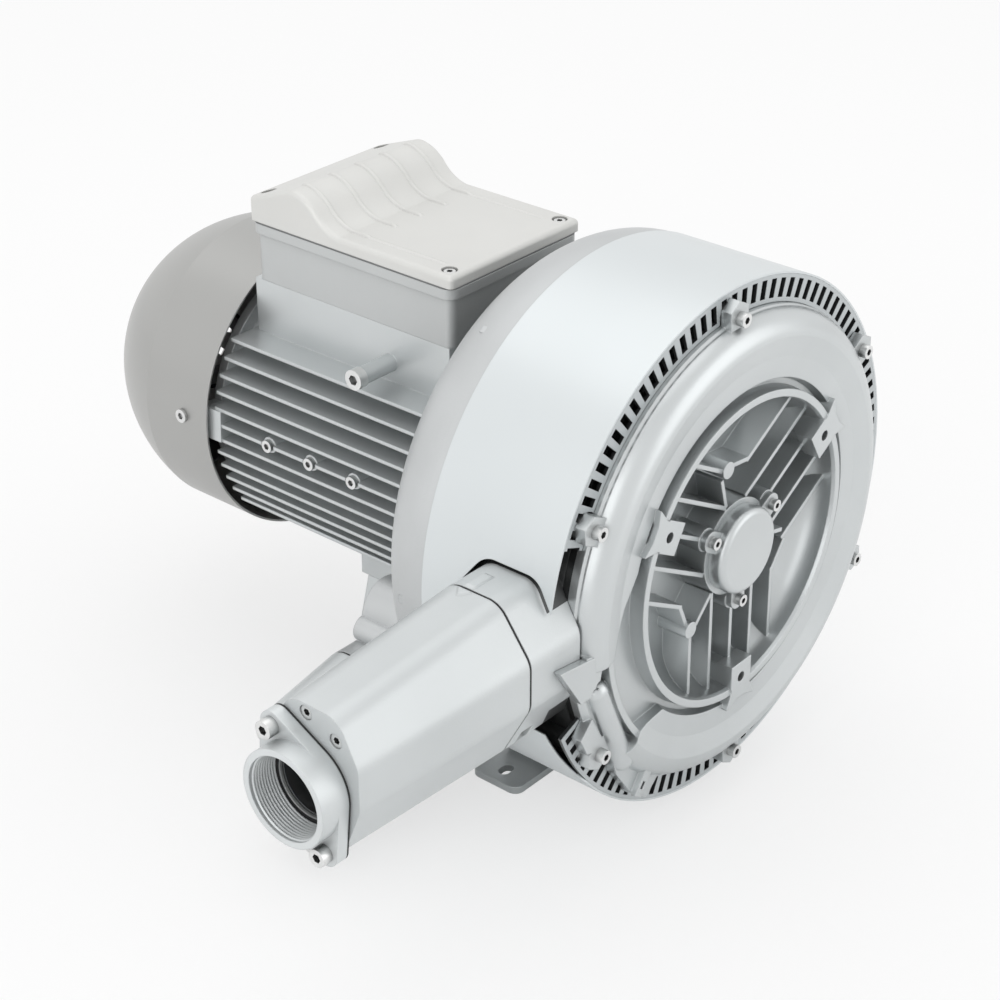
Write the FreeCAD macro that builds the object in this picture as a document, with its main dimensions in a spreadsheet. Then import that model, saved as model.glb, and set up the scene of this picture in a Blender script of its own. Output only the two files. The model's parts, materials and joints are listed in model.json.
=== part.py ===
import FreeCAD, Part
import Sketcher
import math
import os
import re

# Two-stage side channel blower with a built-on motor.
# The sub-parts are drawn about the shaft: Y runs along it from the front cover
# to the fan cowl, Z is up, and the silencers point toward -X. Every finished
# sub-part is then placed so that the origin is the middle of the foot pattern
# on the floor. Lengths are millimetres, angles are degrees turned from the top
# toward +X.

V = FreeCAD.Vector
doc = FreeCAD.newDocument("side_channel_blower")

SIZES = {
    # whole machine
    "shaft_height": 215,
    "running_gap": 0.05,
    "seat_gap": 0.1,
    "cover_gap": 0.3,
    # casings and stages
    "casing_radius": 178,
    "cover_split": 9,
    "channel_pitch": 150,
    "channel_bore": 18,
    "vane_width": 30,
    "chamber_gap": 0.5,
    "radial_gap": 0.8,
    "stage_web": 10,
    "casing_wall": 6,
    "motor_neck": 9,
    "channel_start": -97,
    "channel_sweep": 320,
    "bulge_sweep": 328,
    "cover_channel_start": -72,
    # front cover
    "cover_face": -7,
    "crest_radius": 159,
    "crest_face": -19.5,
    "crest_round": 18.2,
    "bulge_inner": 127.5,
    "bulge_inner_face": -14.5,
    "rim_outer": 120,
    "rim_inner": 114.5,
    "rim_face": -18.3,
    "dish_radius": 86,
    "dish_round": 27.8,
    "recess_floor": 15,
    "corner_face": -16,
    "corner_run": 9,
    "cover_web": 5,
    "hub_radius": 37,
    "hub_face": -9,
    "rib_thick": 3.2,
    "rib_pitch": 25,
    "rib_face": -8,
    "front_lug_circle": 108,
    "front_lug_face": -19.5,
    "front_lug_side": 24,
    "front_lug_hole": 4,
    "front_lug_depth": 20,
    "front_lug_turn": 59,
    # bolts through the casings
    "bolt_circle": 182,
    "bolt_turn": -3,
    "cover_bolt": 3,
    "cover_bolt_head": 5.2,
    "cover_bolt_head_height": 6,
    "bolt_radius": 4,
    "bolt_head": 6.5,
    "bolt_head_height": 8,
    "bolt_lug": 10,
    "bolt_lug_face": -9,
    "bolt_bite": 22,
    # hub cap
    "cap_radius": 33,
    "cap_face": -22,
    "cap_round": 5,
    "cap_ear_circle": 42,
    "cap_ear": 8,
    "cap_ear_thick": 5,
    "cap_screw": 2.5,
    "cap_screw_head": 4.5,
    "cap_screw_length": 16,
    # bearings, seals and shaft
    "bearing_outer": 31,
    "bearing_width": 16,
    "bearing_race": 5,
    "journal": 15,
    "seat_radius": 16,
    "shoulder_radius": 19,
    "seal_outer": 25,
    "seal_width": 6,
    "nut_pocket": 27,
    "nut_radius": 23,
    # impellers
    "vane_count": 40,
    "vane_thick": 4,
    "vane_pocket": 13,
    "vane_rim": 6,
    "web_inset": 13,
    "web_thick": 7,
    "wheel_hub": 28,
    "wheel_hub_inset": 12,
    "wheel_hub_length": 19,
    "key_half": 4,
    "key_low": 12.5,
    "key_high": 19.5,
    # band and guard ring
    "band_radius": 200,
    "band_sheet": 1.5,
    "band_length": 112,
    "window_gap": 2.5,
    "ring_thick": 3,
    "slot_inner_margin": 3.5,
    "slot_outer_margin": 2.9,
    "slot_half": 3.1,
    "slot_pitch": 3.53,
    "ring_gap_start": 29,
    "ring_gap_stop": 15,
    # air guide round the rear casing
    "guide_sheet": 4,
    "guide_overlap": 8,
    "guide_rear": 166,
    "guide_crown": 168,
    "guide_round": 52,
    "guide_mouth": 134,
    # silencers and ports
    "neck_end": -228,
    "gasket_thick": 2,
    "neck_lip": 10,
    "lug_depth": 18,
    "body_width": 95,
    "body_height": 121,
    "body_corner": 27,
    "body_lower_corner": 50,
    "body_upper_corner": 36,
    "silencer_wall": 5,
    "section_round": 18,
    "tie_screw": 3,
    "tie_screw_head": 5,
    "tie_column": 8,
    "tie_bite": 16,
    "discharge_y": 37.5,
    "discharge_z": -11,
    "discharge_length": 150,
    "end_width": 74,
    "end_height": 104,
    "end_corner": 16,
    "end_drop": 3,
    "port_drop": 9,
    "port_shift": 5,
    "port_thread": 29.8,
    "port_boss": 34.6,
    "port_length": 22,
    "flange_reach": 44,
    "flange_turn": 28.6,
    "flange_ear": 10,
    "flange_thick": 9,
    "flange_screw": 4,
    "flange_gasket": 1.5,
    "foam_inner": 18,
    "foam_thick": 6,
    "suction_y": 180,
    "suction_z": -140,
    "suction_neck_end": -194,
    "suction_length": 62,
    "suction_port_shift": -4,
    "suction_duct_shift": -14,
    "duct_radius": 22,
    "knee_radius": 41,
    "knee_x": -133,
    "knee_z": -99,
    "knee_end": 200,
    # motor frame
    "frame_bore": 80,
    "frame_radius": 92,
    "frame_length": 262,
    "frame_flange": 110,
    "frame_flange_thick": 11,
    "fin_tip": 118,
    "fin_thick": 2.8,
    "fin_pitch": 12.73,
    "fin_rows": 12,
    "fin_start": 22,
    "fin_stop": 8,
    "saddle_half": 70,
    "saddle_low": 62,
    "frame_foot_half": 50,
    "frame_foot_low": -125,
    "frame_foot_start": 255,
    "frame_foot_stop": 315,
    "motor_bolt_circle": 101,
    # stator and rotor
    "stator_start": 225,
    "stator_length": 120,
    "stator_bore": 49.6,
    "winding_length": 20,
    "rotor_radius": 49,
    "rotor_seat": 22,
    # rear end of the motor
    "shield_radius": 103,
    "shield_thick": 8,
    "shield_ear_circle": 109,
    "shield_ear": 8,
    "shield_screw": 3,
    "fan_seat": 14,
    "fan_start": 438,
    "fan_radius": 108,
    "fan_hub": 24,
    "fan_depth": 34,
    "fan_blades": 9,
    "cowl_radius": 123.4,
    "cowl_sheet": 1.5,
    "cowl_front": 407.5,
    "cowl_crease": 476,
    "cowl_rear": 565,
    "cowl_end_radius": 63,
    "cowl_round": 145,
    "cowl_screw_place": 434,
    "cowl_screw": 3,
    # terminal box
    "box_half": 70,
    "box_front": 198,
    "box_rear": 396,
    "box_low": 116,
    "box_high": 163,
    "box_wall": 4,
    "box_round": 7,
    "box_flange": 3,
    "box_flange_height": 8,
    "lid_gasket_thick": 1.5,
    "lid_flat": 174,
    "lid_crest": 199,
    "lid_ridge": 1,
    "lid_ridge_pitch": 28,
    "lid_crest_place": 349,
    "lid_foot_place": 290,
    "lid_rear": 183,
    "lid_wall": 3,
    "lid_screw": 2.5,
    "lid_screw_inset": 8,
    "cable_bore": 8,
    # feet
    "foot_thick": 6,
    "foot_half": 107,
    "slot_place": 92,
    "slot_radius": 4.5,
    "slot_length": 14,
    "front_foot_start": 104,
    "front_foot_stop": 150,
    "front_pad_height": 13,
    "front_pad_start": 118,
    "front_pad_half": 68,
    "rear_foot_start": 262,
    "rear_foot_stop": 308,
    "foot_rib": 8,
    # small screws and bosses of the motor frame
    "side_screw": 3,
    "side_screw_head": 5,
    "side_boss": 6.5,
    "side_screw_turn": 6,
    "side_screw_place": 301,
    "side_screw_pitch": 44.5,
    "earth_screw": 4,
    "earth_boss": 7,
    "earth_x": -102,
    "earth_y": 259,
    "earth_z": 87,
    "ear_turn": -87.4,
}

sheet = doc.addObject("Spreadsheet::Sheet", "Sizes")
for row, (alias, value) in enumerate(SIZES.items(), start=1):
    sheet.set(f"A{row}", alias.replace("_", " "))
    sheet.set(f"B{row}", str(value))
    sheet.setAlias(f"B{row}", alias)
doc.recompute()

# Places along the shaft and radii that follow from the sizes.
FRONT_CHAMBER = "cover_split"
CHAMBER = "(vane_width+2*chamber_gap)"
MID_FACE = f"(cover_split+{CHAMBER})"
REAR_CHAMBER = f"({MID_FACE}+2*channel_bore+stage_web)"
REAR_FACE = f"({REAR_CHAMBER}+{CHAMBER})"
REAR_WALL = f"({REAR_FACE}+channel_bore+casing_wall)"
MOTOR_FACE = f"({REAR_WALL}+motor_neck)"
FRAME_END = f"({MOTOR_FACE}+frame_length)"
VANE_OUTER = "(channel_pitch+channel_bore)"
VANE_INNER = "(channel_pitch-channel_bore)"
CHAMBER_RADIUS = f"({VANE_OUTER}+radial_gap)"
GUIDE_RADIUS = "(band_radius-band_sheet-seat_gap)"
FRONT_PAD_LOW = "(-shaft_height+front_pad_height)"
STRIPPER_END = "(channel_start+channel_sweep-360)"
DISCHARGE_DUCT = ("discharge_y+6", "discharge_z-7")
SUCTION_DUCT = ("suction_y+suction_duct_shift", "knee_z-14")

finished = []


def linked(rule):
    """Write a rule with each size name as a reference to the sheet."""
    def reference(word):
        name = word.group(0)
        return f"Sizes.{name}" if name in SIZES else name
    return re.sub(r"[a-z][a-z_]*", reference, str(rule))


def size(rule):
    """The present value of a rule."""
    return float(sheet.evalExpression(linked(rule)))


def tie(item, path, rule):
    item.setExpression(path, linked(rule))


def turned_about_shaft(angle):
    return FreeCAD.Rotation(V(0, 1, 0), angle)


def around(circle, angle):
    """Rules for x and z of a point on a circle about the shaft."""
    return f"({circle})*sin({angle})", f"({circle})*cos({angle})"


def offset(angle, along, across):
    """Rules for x and z of a point out along a radius and across it."""
    return (f"({along})*sin({angle})+({across})*cos({angle})",
            f"({along})*cos({angle})-({across})*sin({angle})")


def box(name, x, y, z):
    """A box between two rules on each axis."""
    item = doc.addObject("Part::Box", name)
    for side, (low, high) in zip(("Length", "Width", "Height"), (x, y, z)):
        tie(item, side, f"({high})-({low})")
    for axis, (low, high) in zip("xyz", (x, y, z)):
        tie(item, f"Placement.Base.{axis}", low)
    return item


def spoke(name, angle, along, depth, across):
    """A box that points outward from the shaft: along the radius, along Y, and across."""
    item = doc.addObject("Part::Box", name)
    for side, (low, high) in zip(("Length", "Width", "Height"), (along, depth, across)):
        tie(item, side, f"({high})-({low})")
    turn = turned_about_shaft(size(angle) - 90)
    corner = V(size(along[0]), size(depth[0]), size(across[0]))
    item.Placement = FreeCAD.Placement(turn.multVec(corner), turn)
    return item


DIRECTIONS = {
    "X": FreeCAD.Rotation(V(0, 1, 0), 90),
    "Y": FreeCAD.Rotation(V(1, 0, 0), -90),
    "Z": FreeCAD.Rotation(),
}


def rod(name, radius, start, length, along="Y"):
    """A cylinder from a start point toward +X, +Y or +Z."""
    item = doc.addObject("Part::Cylinder", name)
    item.Placement = FreeCAD.Placement(V(), DIRECTIONS[along])
    tie(item, "Radius", radius)
    tie(item, "Height", length)
    for axis, rule in zip("xyz", start):
        tie(item, f"Placement.Base.{axis}", rule)
    return item


def drum(name, radius, span):
    """A cylinder about the shaft between two places on it."""
    return rod(name, radius, ("0", span[0], "0"), f"({span[1]})-({span[0]})")


def tube(name, outer, inner, span):
    """A ring about the shaft."""
    outside = drum(f"{name}_outside", outer, span)
    inside = drum(f"{name}_inside", inner, (f"{span[0]}-1", f"{span[1]}+1"))
    return cut(name, outside, [inside])


def joined(name, items):
    item = doc.addObject("Part::MultiFuse", name)
    item.Shapes = items
    item.Refine = False
    return item


def cut(name, base, tools):
    item = doc.addObject("Part::Cut", name)
    item.Base = base
    item.Tool = tools[0] if len(tools) == 1 else joined(f"{name}_tools", tools)
    item.Refine = False
    return item


def shared(name, items):
    item = doc.addObject("Part::MultiCommon", name)
    item.Shapes = items
    return item


def arc_between(start, end, radius):
    """A circle arc from start to end. A positive radius bends it to the left."""
    chord = end - start
    half = chord.Length / 2
    reach = math.sqrt(max(radius * radius - half * half, 0))
    side = V(-chord.y, chord.x, 0).normalize()
    sign = 1 if radius > 0 else -1
    centre = (start + end) / 2 + side * (sign * reach)
    first, last = (start, end) if sign > 0 else (end, start)
    angles = [math.atan2(point.y - centre.y, point.x - centre.x) for point in (first, last)]
    return Part.ArcOfCircle(Part.Circle(centre, V(0, 0, 1), abs(radius)), *angles)


def drawing(body, name, plane, outline):
    """A closed sketch on an origin plane. Each point is (across, up) or (across, up, radius),
    where the radius is that of the arc from the point to the next one."""
    sketch = body.newObject("Sketcher::SketchObject", name)
    support = [part for part in body.Origin.OriginFeatures if part.Role == plane][0]
    sketch.AttachmentSupport = [(support, "")]
    sketch.MapMode = "FlatFace"
    points = [V(size(point[0]), size(point[1]), 0) for point in outline]
    ends = []
    for number, point in enumerate(outline):
        start = points[number]
        end = points[(number + 1) % len(points)]
        radius = size(point[2]) if len(point) > 2 else 0
        if radius:
            sketch.addGeometry(arc_between(start, end, radius), False)
        else:
            sketch.addGeometry(Part.LineSegment(start, end), False)
        ends.append((1, 2) if radius >= 0 else (2, 1))
    for number, point in enumerate(outline):
        following = (number + 1) % len(outline)
        sketch.addConstraint(Sketcher.Constraint(
            "Coincident", number, ends[number][1], following, ends[following][0]))
        for kind, rule in (("DistanceX", point[0]), ("DistanceY", point[1])):
            index = sketch.addConstraint(Sketcher.Constraint(
                kind, -1, 1, number, ends[number][0], size(rule)))
            tie(sketch, f"Constraints[{index}]", rule)
        if len(point) > 2:
            index = sketch.addConstraint(Sketcher.Constraint(
                "Radius", number, abs(size(point[2]))))
            tie(sketch, f"Constraints[{index}]", f"abs({point[2]})")
    return sketch


def new_body(name):
    return doc.addObject("PartDesign::Body", name)


def turned(name, outline, sweep=None):
    """A body turned about the shaft from an outline of (radius, y) points.
    The sweep, where given, is (first angle, swept angle)."""
    body = new_body(name)
    sketch = drawing(body, f"{name}_profile", "XY_Plane", outline)
    turning = body.newObject("PartDesign::Revolution", f"{name}_turn")
    turning.Profile = sketch
    turning.ReferenceAxis = (sketch, ["V_Axis"])
    turning.Angle = 360
    if sweep:
        tie(turning, "Angle", sweep[1])
        body.Placement = FreeCAD.Placement(V(), turned_about_shaft(size(sweep[0]) - 90))
    return body


PLANES = {"X": "YZ_Plane", "Y": "XZ_Plane", "Z": "XY_Plane"}


def padded(name, outline, span, along):
    """A body with one outline, padded between two places along X, Y or Z."""
    body = new_body(name)
    sketch = drawing(body, f"{name}_outline", PLANES[along], outline)
    place = f"-({span[1]})" if along == "Y" else span[0]
    tie(sketch, "AttachmentOffset.Base.z", place)
    pad = body.newObject("PartDesign::Pad", f"{name}_pad")
    pad.Profile = sketch
    tie(pad, "Length", f"({span[1]})-({span[0]})")
    return body


def rounded(body, radius, chosen):
    """Fillet the edges of a body that a test picks."""
    doc.recompute()
    base = body.Tip
    names = [f"Edge{number}" for number, edge in enumerate(base.Shape.Edges, start=1)
             if chosen(edge)]
    fillet = body.newObject("PartDesign::Fillet", f"{body.Name}_round")
    fillet.Base = (base, names)
    tie(fillet, "Radius", radius)
    return body


def runs_along(axis):
    """A test for straight edges along one axis."""
    def test(edge):
        if edge.Curve.TypeId != "Part::GeomLine":
            return False
        return abs(abs(getattr(edge.Curve.Direction, axis)) - 1) < 1e-6
    return test


def finish(label, item):
    """Name a finished sub-part and put it over the foot pattern."""
    item.Label = label
    seat = FreeCAD.Placement(V(0, -size(FOOT_MIDDLE), size("shaft_height")), FreeCAD.Rotation())
    item.Placement = seat.multiply(item.Placement)
    finished.append(item)
    return item


def gathered(label, shapes):
    """Like pieces that share one name as separate solids."""
    item = doc.addObject("Part::Feature", label)
    item.Shape = Part.makeCompound(shapes)
    return finish(label, item)


def socket_screw(name, shank, length, head, head_height):
    """A hex-socket screw along +Y with its head's underside at the origin."""
    body = rod(f"{name}_shank", shank, ("0", "0", "0"), length)
    cap = rod(f"{name}_cap", head, ("0", f"-({head_height})", "0"), head_height)
    socket = doc.addObject("Part::Prism", f"{name}_socket")
    tie(socket, "Circumradius", f"({head})*0.52")
    tie(socket, "Height", f"({head_height})*0.55")
    socket.Placement = FreeCAD.Placement(V(), DIRECTIONS["Y"])
    tie(socket, "Placement.Base.y", f"-({head_height})")
    screw = cut(name, joined(f"{name}_blank", [body, cap]), [socket])
    doc.recompute()
    return screw.Shape


def placed(shape, x, y, z, direction=None):
    """A copy of a shape at a point, turned from +Y to a direction."""
    turn = FreeCAD.Rotation(V(0, 1, 0), direction or V(0, 1, 0))
    copy = shape.copy()
    copy.Placement = FreeCAD.Placement(V(size(x), size(y), size(z)), turn)
    return copy


FOOT_MIDDLE = "((front_foot_start+front_foot_stop+rear_foot_start+rear_foot_stop)/4)"
COVER_BOLTS = [around("bolt_circle", f"bolt_turn+{60 * turn}") for turn in range(6)]
CAP_SCREWS = [around("cap_ear_circle", f"front_lug_turn+1+{120 * turn}") for turn in range(3)]
MOTOR_BOLTS = [around("motor_bolt_circle", f"{45 + 90 * turn}") for turn in range(4)]
SHIELD_SCREWS = [around("shield_ear_circle", f"{-88 + 90 * turn}") for turn in range(4)]


def channel(name, centre, start="channel_start", sweep="channel_sweep"):
    """The side channel: most of a ring of round section, stopped by the stripper."""
    ring = doc.addObject("Part::Torus", name)
    tie(ring, "Radius1", "channel_pitch")
    tie(ring, "Radius2", "channel_bore")
    tie(ring, "Angle3", sweep)
    flat = FreeCAD.Rotation(V(1, 0, 0), -90)
    turn = turned_about_shaft(size(start) - 90)
    ring.Placement = FreeCAD.Placement(V(), turn.multiply(flat))
    tie(ring, "Placement.Base.y", centre)
    return ring


def bolt_holes(name, places, radius, span):
    return [rod(f"{name}_{number}", radius, (x, span[0], z), f"({span[1]})-({span[0]})")
            for number, (x, z) in enumerate(places)]


def front_cover():
    floor_inside = "(recess_floor+cover_web)"
    hub_bore = "(bearing_outer+seat_gap/2)"
    shell = turned("cover_shell", [
        ("casing_radius", "cover_split"),
        ("casing_radius", "cover_face+4"),
        ("casing_radius-4", "cover_face"),
        ("rim_outer+1", "cover_face"),
        ("rim_outer", "rim_face"),
        ("rim_inner", "rim_face"),
        ("rim_inner-1", "rim_face+3", "dish_round"),
        ("dish_radius", "recess_floor"),
        ("hub_radius+1", "recess_floor"),
        ("hub_radius", "hub_face"),
        (hub_bore, "hub_face"),
        (hub_bore, "hub_face+bearing_width"),
        ("shoulder_radius+1", "hub_face+bearing_width"),
        ("shoulder_radius+1", "hub_face+bearing_width+2"),
        ("seal_outer", "hub_face+bearing_width+2"),
        ("seal_outer", "hub_face+bearing_width+2+seal_width"),
        ("nut_pocket", "hub_face+bearing_width+2+seal_width"),
        ("nut_pocket", floor_inside),
        (f"{VANE_INNER}-vane_rim-5", floor_inside),
        (f"{VANE_INNER}-vane_rim-2", "cover_split"),
    ])
    bulge = turned("cover_bulge", [
        ("casing_radius-1.5", "cover_face+1", "-crest_round"),
        ("crest_radius", "crest_face"),
        ("(crest_radius+bulge_inner)/2", "crest_face+4"),
        ("bulge_inner", "bulge_inner_face"),
        ("bulge_inner-2", "cover_face-0.5"),
        ("bulge_inner-2", "cover_face+4"),
        ("casing_radius-1.5", "cover_face+4"),
    ], ("channel_start", "bulge_sweep"))
    solids = [shell, cut("cover_bulge_end", bulge, [corner_floor()])]
    rib_floor = "recess_floor+2"
    rib_end = "(rim_inner+3.5)"
    for turn in range(3):
        angle = f"front_lug_turn+{120 * turn}"
        for row in (-2, -1, 0, 1, 2):
            middle = f"{row}*rib_pitch"
            start = {0: "cap_ear_circle", 1: "hub_radius-9", 2: "cap_ear_circle"}[abs(row)]
            reach = f"sqrt({rib_end}*{rib_end}-{row * row}*rib_pitch*rib_pitch)"
            solids.append(spoke(
                f"rib_{turn}_{row + 2}", angle, (start, reach), ("rib_face", rib_floor),
                (f"{middle}-rib_thick/2", f"{middle}+rib_thick/2")))
        solids.append(bent_rib(f"inner_bend_{turn}", angle, "hub_radius-10", "-rib_pitch-2"))
        solids.append(bent_rib(f"outer_bend_{turn}", angle, "hub_radius-14", "2*rib_pitch+14"))
        half = "front_lug_side/2"
        solids.append(spoke(
            f"front_lug_{turn}", angle, (f"front_lug_circle-{half}", "rim_inner"),
            ("front_lug_face", rib_floor), (f"-{half}", half)))
        solids.append(lug_tail(turn, angle))
        x, z = around("cap_ear_circle", f"{angle}+1")
        solids.append(rod(f"cap_boss_{turn}", "cap_ear+1", (x, "hub_face", z),
                          f"{rib_floor}-hub_face"))
    for number, angle in enumerate(("-12", "228")):
        x, z = around("cap_ear_circle+27", angle)
        solids.append(rod(f"lifting_boss_{number}", "2*rib_thick", (x, "rib_face-2", z),
                          f"{rib_floor}-rib_face+2"))
    for number, (x, z) in enumerate(COVER_BOLTS):
        solids.append(rod(f"cover_lug_{number}", "bolt_lug", (x, "bolt_lug_face", z),
                          "cover_split-bolt_lug_face"))
        angle = f"(bolt_turn+{60 * number})"
        solids.append(padded(f"cover_lug_plate_{number}", [
            offset(angle, "bolt_circle-22", "-bolt_lug*0.6"),
            offset(angle, "bolt_circle-16", "-bolt_lug"),
            offset(angle, "bolt_circle+7", "-bolt_lug"),
            offset(angle, "bolt_circle+13", "0"),
            offset(angle, "bolt_circle+7", "bolt_lug"),
            offset(angle, "bolt_circle-16", "bolt_lug"),
            offset(angle, "bolt_circle-22", "bolt_lug*0.6"),
        ], ("bolt_lug_face", "-cover_gap"), "Y"))
    solids += discharge_corner()
    tools = corner_holes()
    tools.append(channel("front_channel", "cover_split", "cover_channel_start",
                         "channel_start+bulge_sweep-12-cover_channel_start"))
    tools += bolt_holes("cover_bolt_hole", COVER_BOLTS, "cover_bolt+seat_gap",
                        ("bolt_lug_face-1", "cover_split+1"))
    tools += bolt_holes("cap_screw_hole", CAP_SCREWS, "cap_screw+seat_gap",
                        ("hub_face-1", "hub_face+cap_screw_length-cap_ear_thick+1"))
    for turn in range(3):
        x, z = around("front_lug_circle", f"front_lug_turn+{120 * turn}")
        tools.append(rod(f"front_lug_hole_{turn}", "front_lug_hole",
                         (x, "front_lug_face-1", z), "front_lug_depth+1"))
    finish("front_cover", cut("front_cover", joined("cover_casting", solids), tools))


def bent_rib(name, angle, start, offset):
    """The slanted inner end of an outer rib of the cover."""
    item = doc.addObject("Part::Box", name)
    tie(item, "Length", "rib_pitch")
    tie(item, "Width", "recess_floor+2-rib_face")
    tie(item, "Height", "rib_thick")
    sector = turned_about_shaft(size(angle) - 90)
    slant = turned_about_shaft(45 if size(offset) < 0 else 37)
    corner = V(size(start), size("rib_face"), size(offset))
    item.Placement = FreeCAD.Placement(sector.multVec(corner), sector.multiply(slant))
    return item


def lug_tail(turn, angle):
    """The outer end of a front lug, which spreads over the rim like a swallow's tail."""
    half = "front_lug_side/2"
    return padded(f"lug_tail_{turn}", [
        offset(angle, f"front_lug_circle-{half}-1", f"-({half})"),
        offset(angle, "front_lug_circle+9", f"-({half})+1"),
        offset(angle, "front_lug_circle+22", f"-({half})-5"),
        offset(angle, "front_lug_circle+18", "-5"),
        offset(angle, "front_lug_circle+18", "5"),
        offset(angle, "front_lug_circle+22", f"{half}+5"),
        offset(angle, "front_lug_circle+9", f"{half}-1"),
        offset(angle, f"front_lug_circle-{half}-1", half),
    ], ("front_lug_face", "cover_face+1"), "Y")


def corner_floor():
    """The room in front of the flange where the bulge gives way at the stripper."""
    inner, outer = "rim_outer+0.5", "crest_radius-8.5"
    return padded("corner_floor", [
        around("bulge_inner-1.5", "cover_channel_start"),
        around("bulge_inner+10.5", "cover_channel_start-12"),
        around(outer, "channel_start+1") + (outer,),
        around(outer, "channel_start+bulge_sweep-360"),
        around(inner, f"{STRIPPER_END}-2.5") + (f"-({inner})",),
        around(inner, "cover_channel_start"),
    ], ("crest_face-10", "cover_face"), "Y")


def discharge_corner():
    """The stripper's side of the cover, where the channel leaves for the discharge."""
    bulge_stop = "(channel_start+bulge_sweep-360)"
    inner, outer = "(crest_radius-8.5)", "(crest_radius-3.5)"
    ridge = padded("corner_ridge", [
        around(inner, "channel_start+3") + (inner,),
        around(inner, f"{STRIPPER_END}"),
        around(outer, f"{STRIPPER_END}") + (f"-{outer}",),
        around(outer, "channel_start+3"),
    ], ("corner_face", "cover_face+2"), "Y")
    pieces = [ridge]
    ends = [V(size(x), size("cover_face"), size(z)) for x, z in (
        around("crest_radius+4", "channel_start-9"),
        around("crest_radius+13", f"{STRIPPER_END}+4"))]
    run = doc.addObject("Part::Cylinder", "corner_run")
    tie(run, "Radius", "corner_run")
    run.Height = (ends[1] - ends[0]).Length
    run.Placement = FreeCAD.Placement(ends[0], FreeCAD.Rotation(V(0, 0, 1), ends[1] - ends[0]))
    pieces.append(run)
    for number, end in enumerate(ends):
        ball = doc.addObject("Part::Sphere", f"corner_run_end_{number}")
        tie(ball, "Radius", "corner_run")
        ball.Placement.Base = end
        pieces.append(ball)
    pieces.append(padded("corner_ear", [
        around("crest_radius", "channel_start+3.5"),
        around("bolt_circle+24", "channel_start+6"),
        around("bolt_circle+5", "channel_start-5"),
        around("crest_radius+10", "channel_start-6"),
    ], ("corner_face", "discharge_y-body_width/2-cover_gap"), "Y"))
    pieces.append(padded("corner_ear_root", [
        around("crest_radius", "channel_start+3.5"),
        around("casing_radius-1", "channel_start+5"),
        around("casing_radius-1", "channel_start-5"),
        around("crest_radius+8", "channel_start-6"),
    ], ("corner_face+1", "cover_face+2"), "Y"))
    pieces.append(padded("corner_bolt_lug", [
        around("casing_radius-4", "channel_start-15"),
        around("bolt_circle+8", "channel_start-17"),
        around("bolt_circle+8", "channel_start-22"),
        around("casing_radius-4", "channel_start-27"),
    ], ("bolt_lug_face", "-cover_gap"), "Y"))
    pieces.append(padded("corner_pad", [
        around("casing_radius-4", f"{bulge_stop}+3"),
        around("bolt_circle+2", f"{bulge_stop}-5"),
        around("bolt_circle+10", f"{bulge_stop}-15"),
        around("bolt_circle+11", f"{bulge_stop}-21"),
        around("casing_radius-4", f"{bulge_stop}-23"),
        around("crest_radius+1", f"{bulge_stop}-19"),
    ], ("bolt_lug_face", "-cover_gap"), "Y"))
    pieces.append(spoke("corner_lug", f"{bulge_stop}-15", ("crest_radius-2", "bolt_circle+10"),
                        ("crest_face+5.5", "-cover_gap"), ("-4.3", "4.3")))
    return pieces


def corner_holes():
    """The open slot under the ear and the slot in the lug of the stripper's corner."""
    holes = []
    for number in range(3):
        x, z = around(f"crest_radius+{8 + 5 * number}", f"channel_start-{4.5 + number}")
        holes.append(rod(f"corner_slot_{number}", "3.5",
                         (x, "corner_face-1", z), "13"))
    holes.append(spoke("corner_lug_slot", "channel_start+bulge_sweep-375",
                       ("bolt_circle-2", "bolt_circle+4"), ("crest_face", "0"),
                       ("-1.6", "1.6")))
    return holes


def section(y, z, width, height, corner, upper, lower, inset="0"):
    """An eight-sided outline of a neck or silencer body in (y, z), with slanted corners."""
    left = f"({y}-({width})/2+{inset})"
    right = f"({y}+({width})/2-({inset}))"
    top = f"({z}+({height})/2-({inset}))"
    bottom = f"({z}-({height})/2+{inset})"
    return [
        (f"{left}+{corner}", top), (left, f"{top}-({upper})"),
        (left, f"{bottom}+{lower}"), (f"{left}+{corner}", bottom),
        (f"{right}-({corner})", bottom), (right, f"{bottom}+{lower}"),
        (right, f"{top}-({upper})"), (f"{right}-({corner})", top),
    ]


def neck_section(y, z, inset="0"):
    return section(y, z, "body_width", "body_height", "body_corner", "body_upper_corner",
                   "body_lower_corner", inset)


def neck_screws(y, z):
    """Places of the two low screws that hold a silencer on its neck."""
    low = "(body_width/2-body_corner*1.04)"
    down = "(body_height/2-body_lower_corner*0.34)"
    return [(f"{y}-{low}", f"{z}-{down}"), (f"{y}+{low}", f"{z}-{down}")]


def tie_screws(y, z):
    """Places of the two long screws that run from the end face into the neck."""
    return [(f"{y}+6.5", f"{z}+42"), (f"{y}-18.5", f"{z}+32")]


def neck_cuts(name, face, y, z):
    """Screw holes through a neck's end, with open pockets behind it for the heads."""
    cuts = []
    for number, (place_y, place_z) in enumerate(neck_screws(y, z)):
        side = "-" if number == 0 else "+"
        cuts.append(rod(f"{name}_thread_{number}", "flange_screw+seat_gap",
                        (f"{face}-1", place_y, place_z), "neck_lip+2", "X"))
        for step, out in enumerate(("0", "7", "14")):
            cuts.append(rod(f"{name}_pocket_{number}_{step}", "bolt_head+1",
                            (f"{face}+neck_lip", f"{place_y}{side}{out}",
                             f"{place_z}-{out}*0.7"), "bolt_head_height+4", "X"))
    for number, (place_y, place_z) in enumerate(tie_screws(y, z)):
        cuts.append(rod(f"{name}_tie_thread_{number}", "tie_screw+seat_gap",
                        (f"{face}-1", place_y, place_z), "tie_bite+2", "X"))
    return cuts


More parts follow.
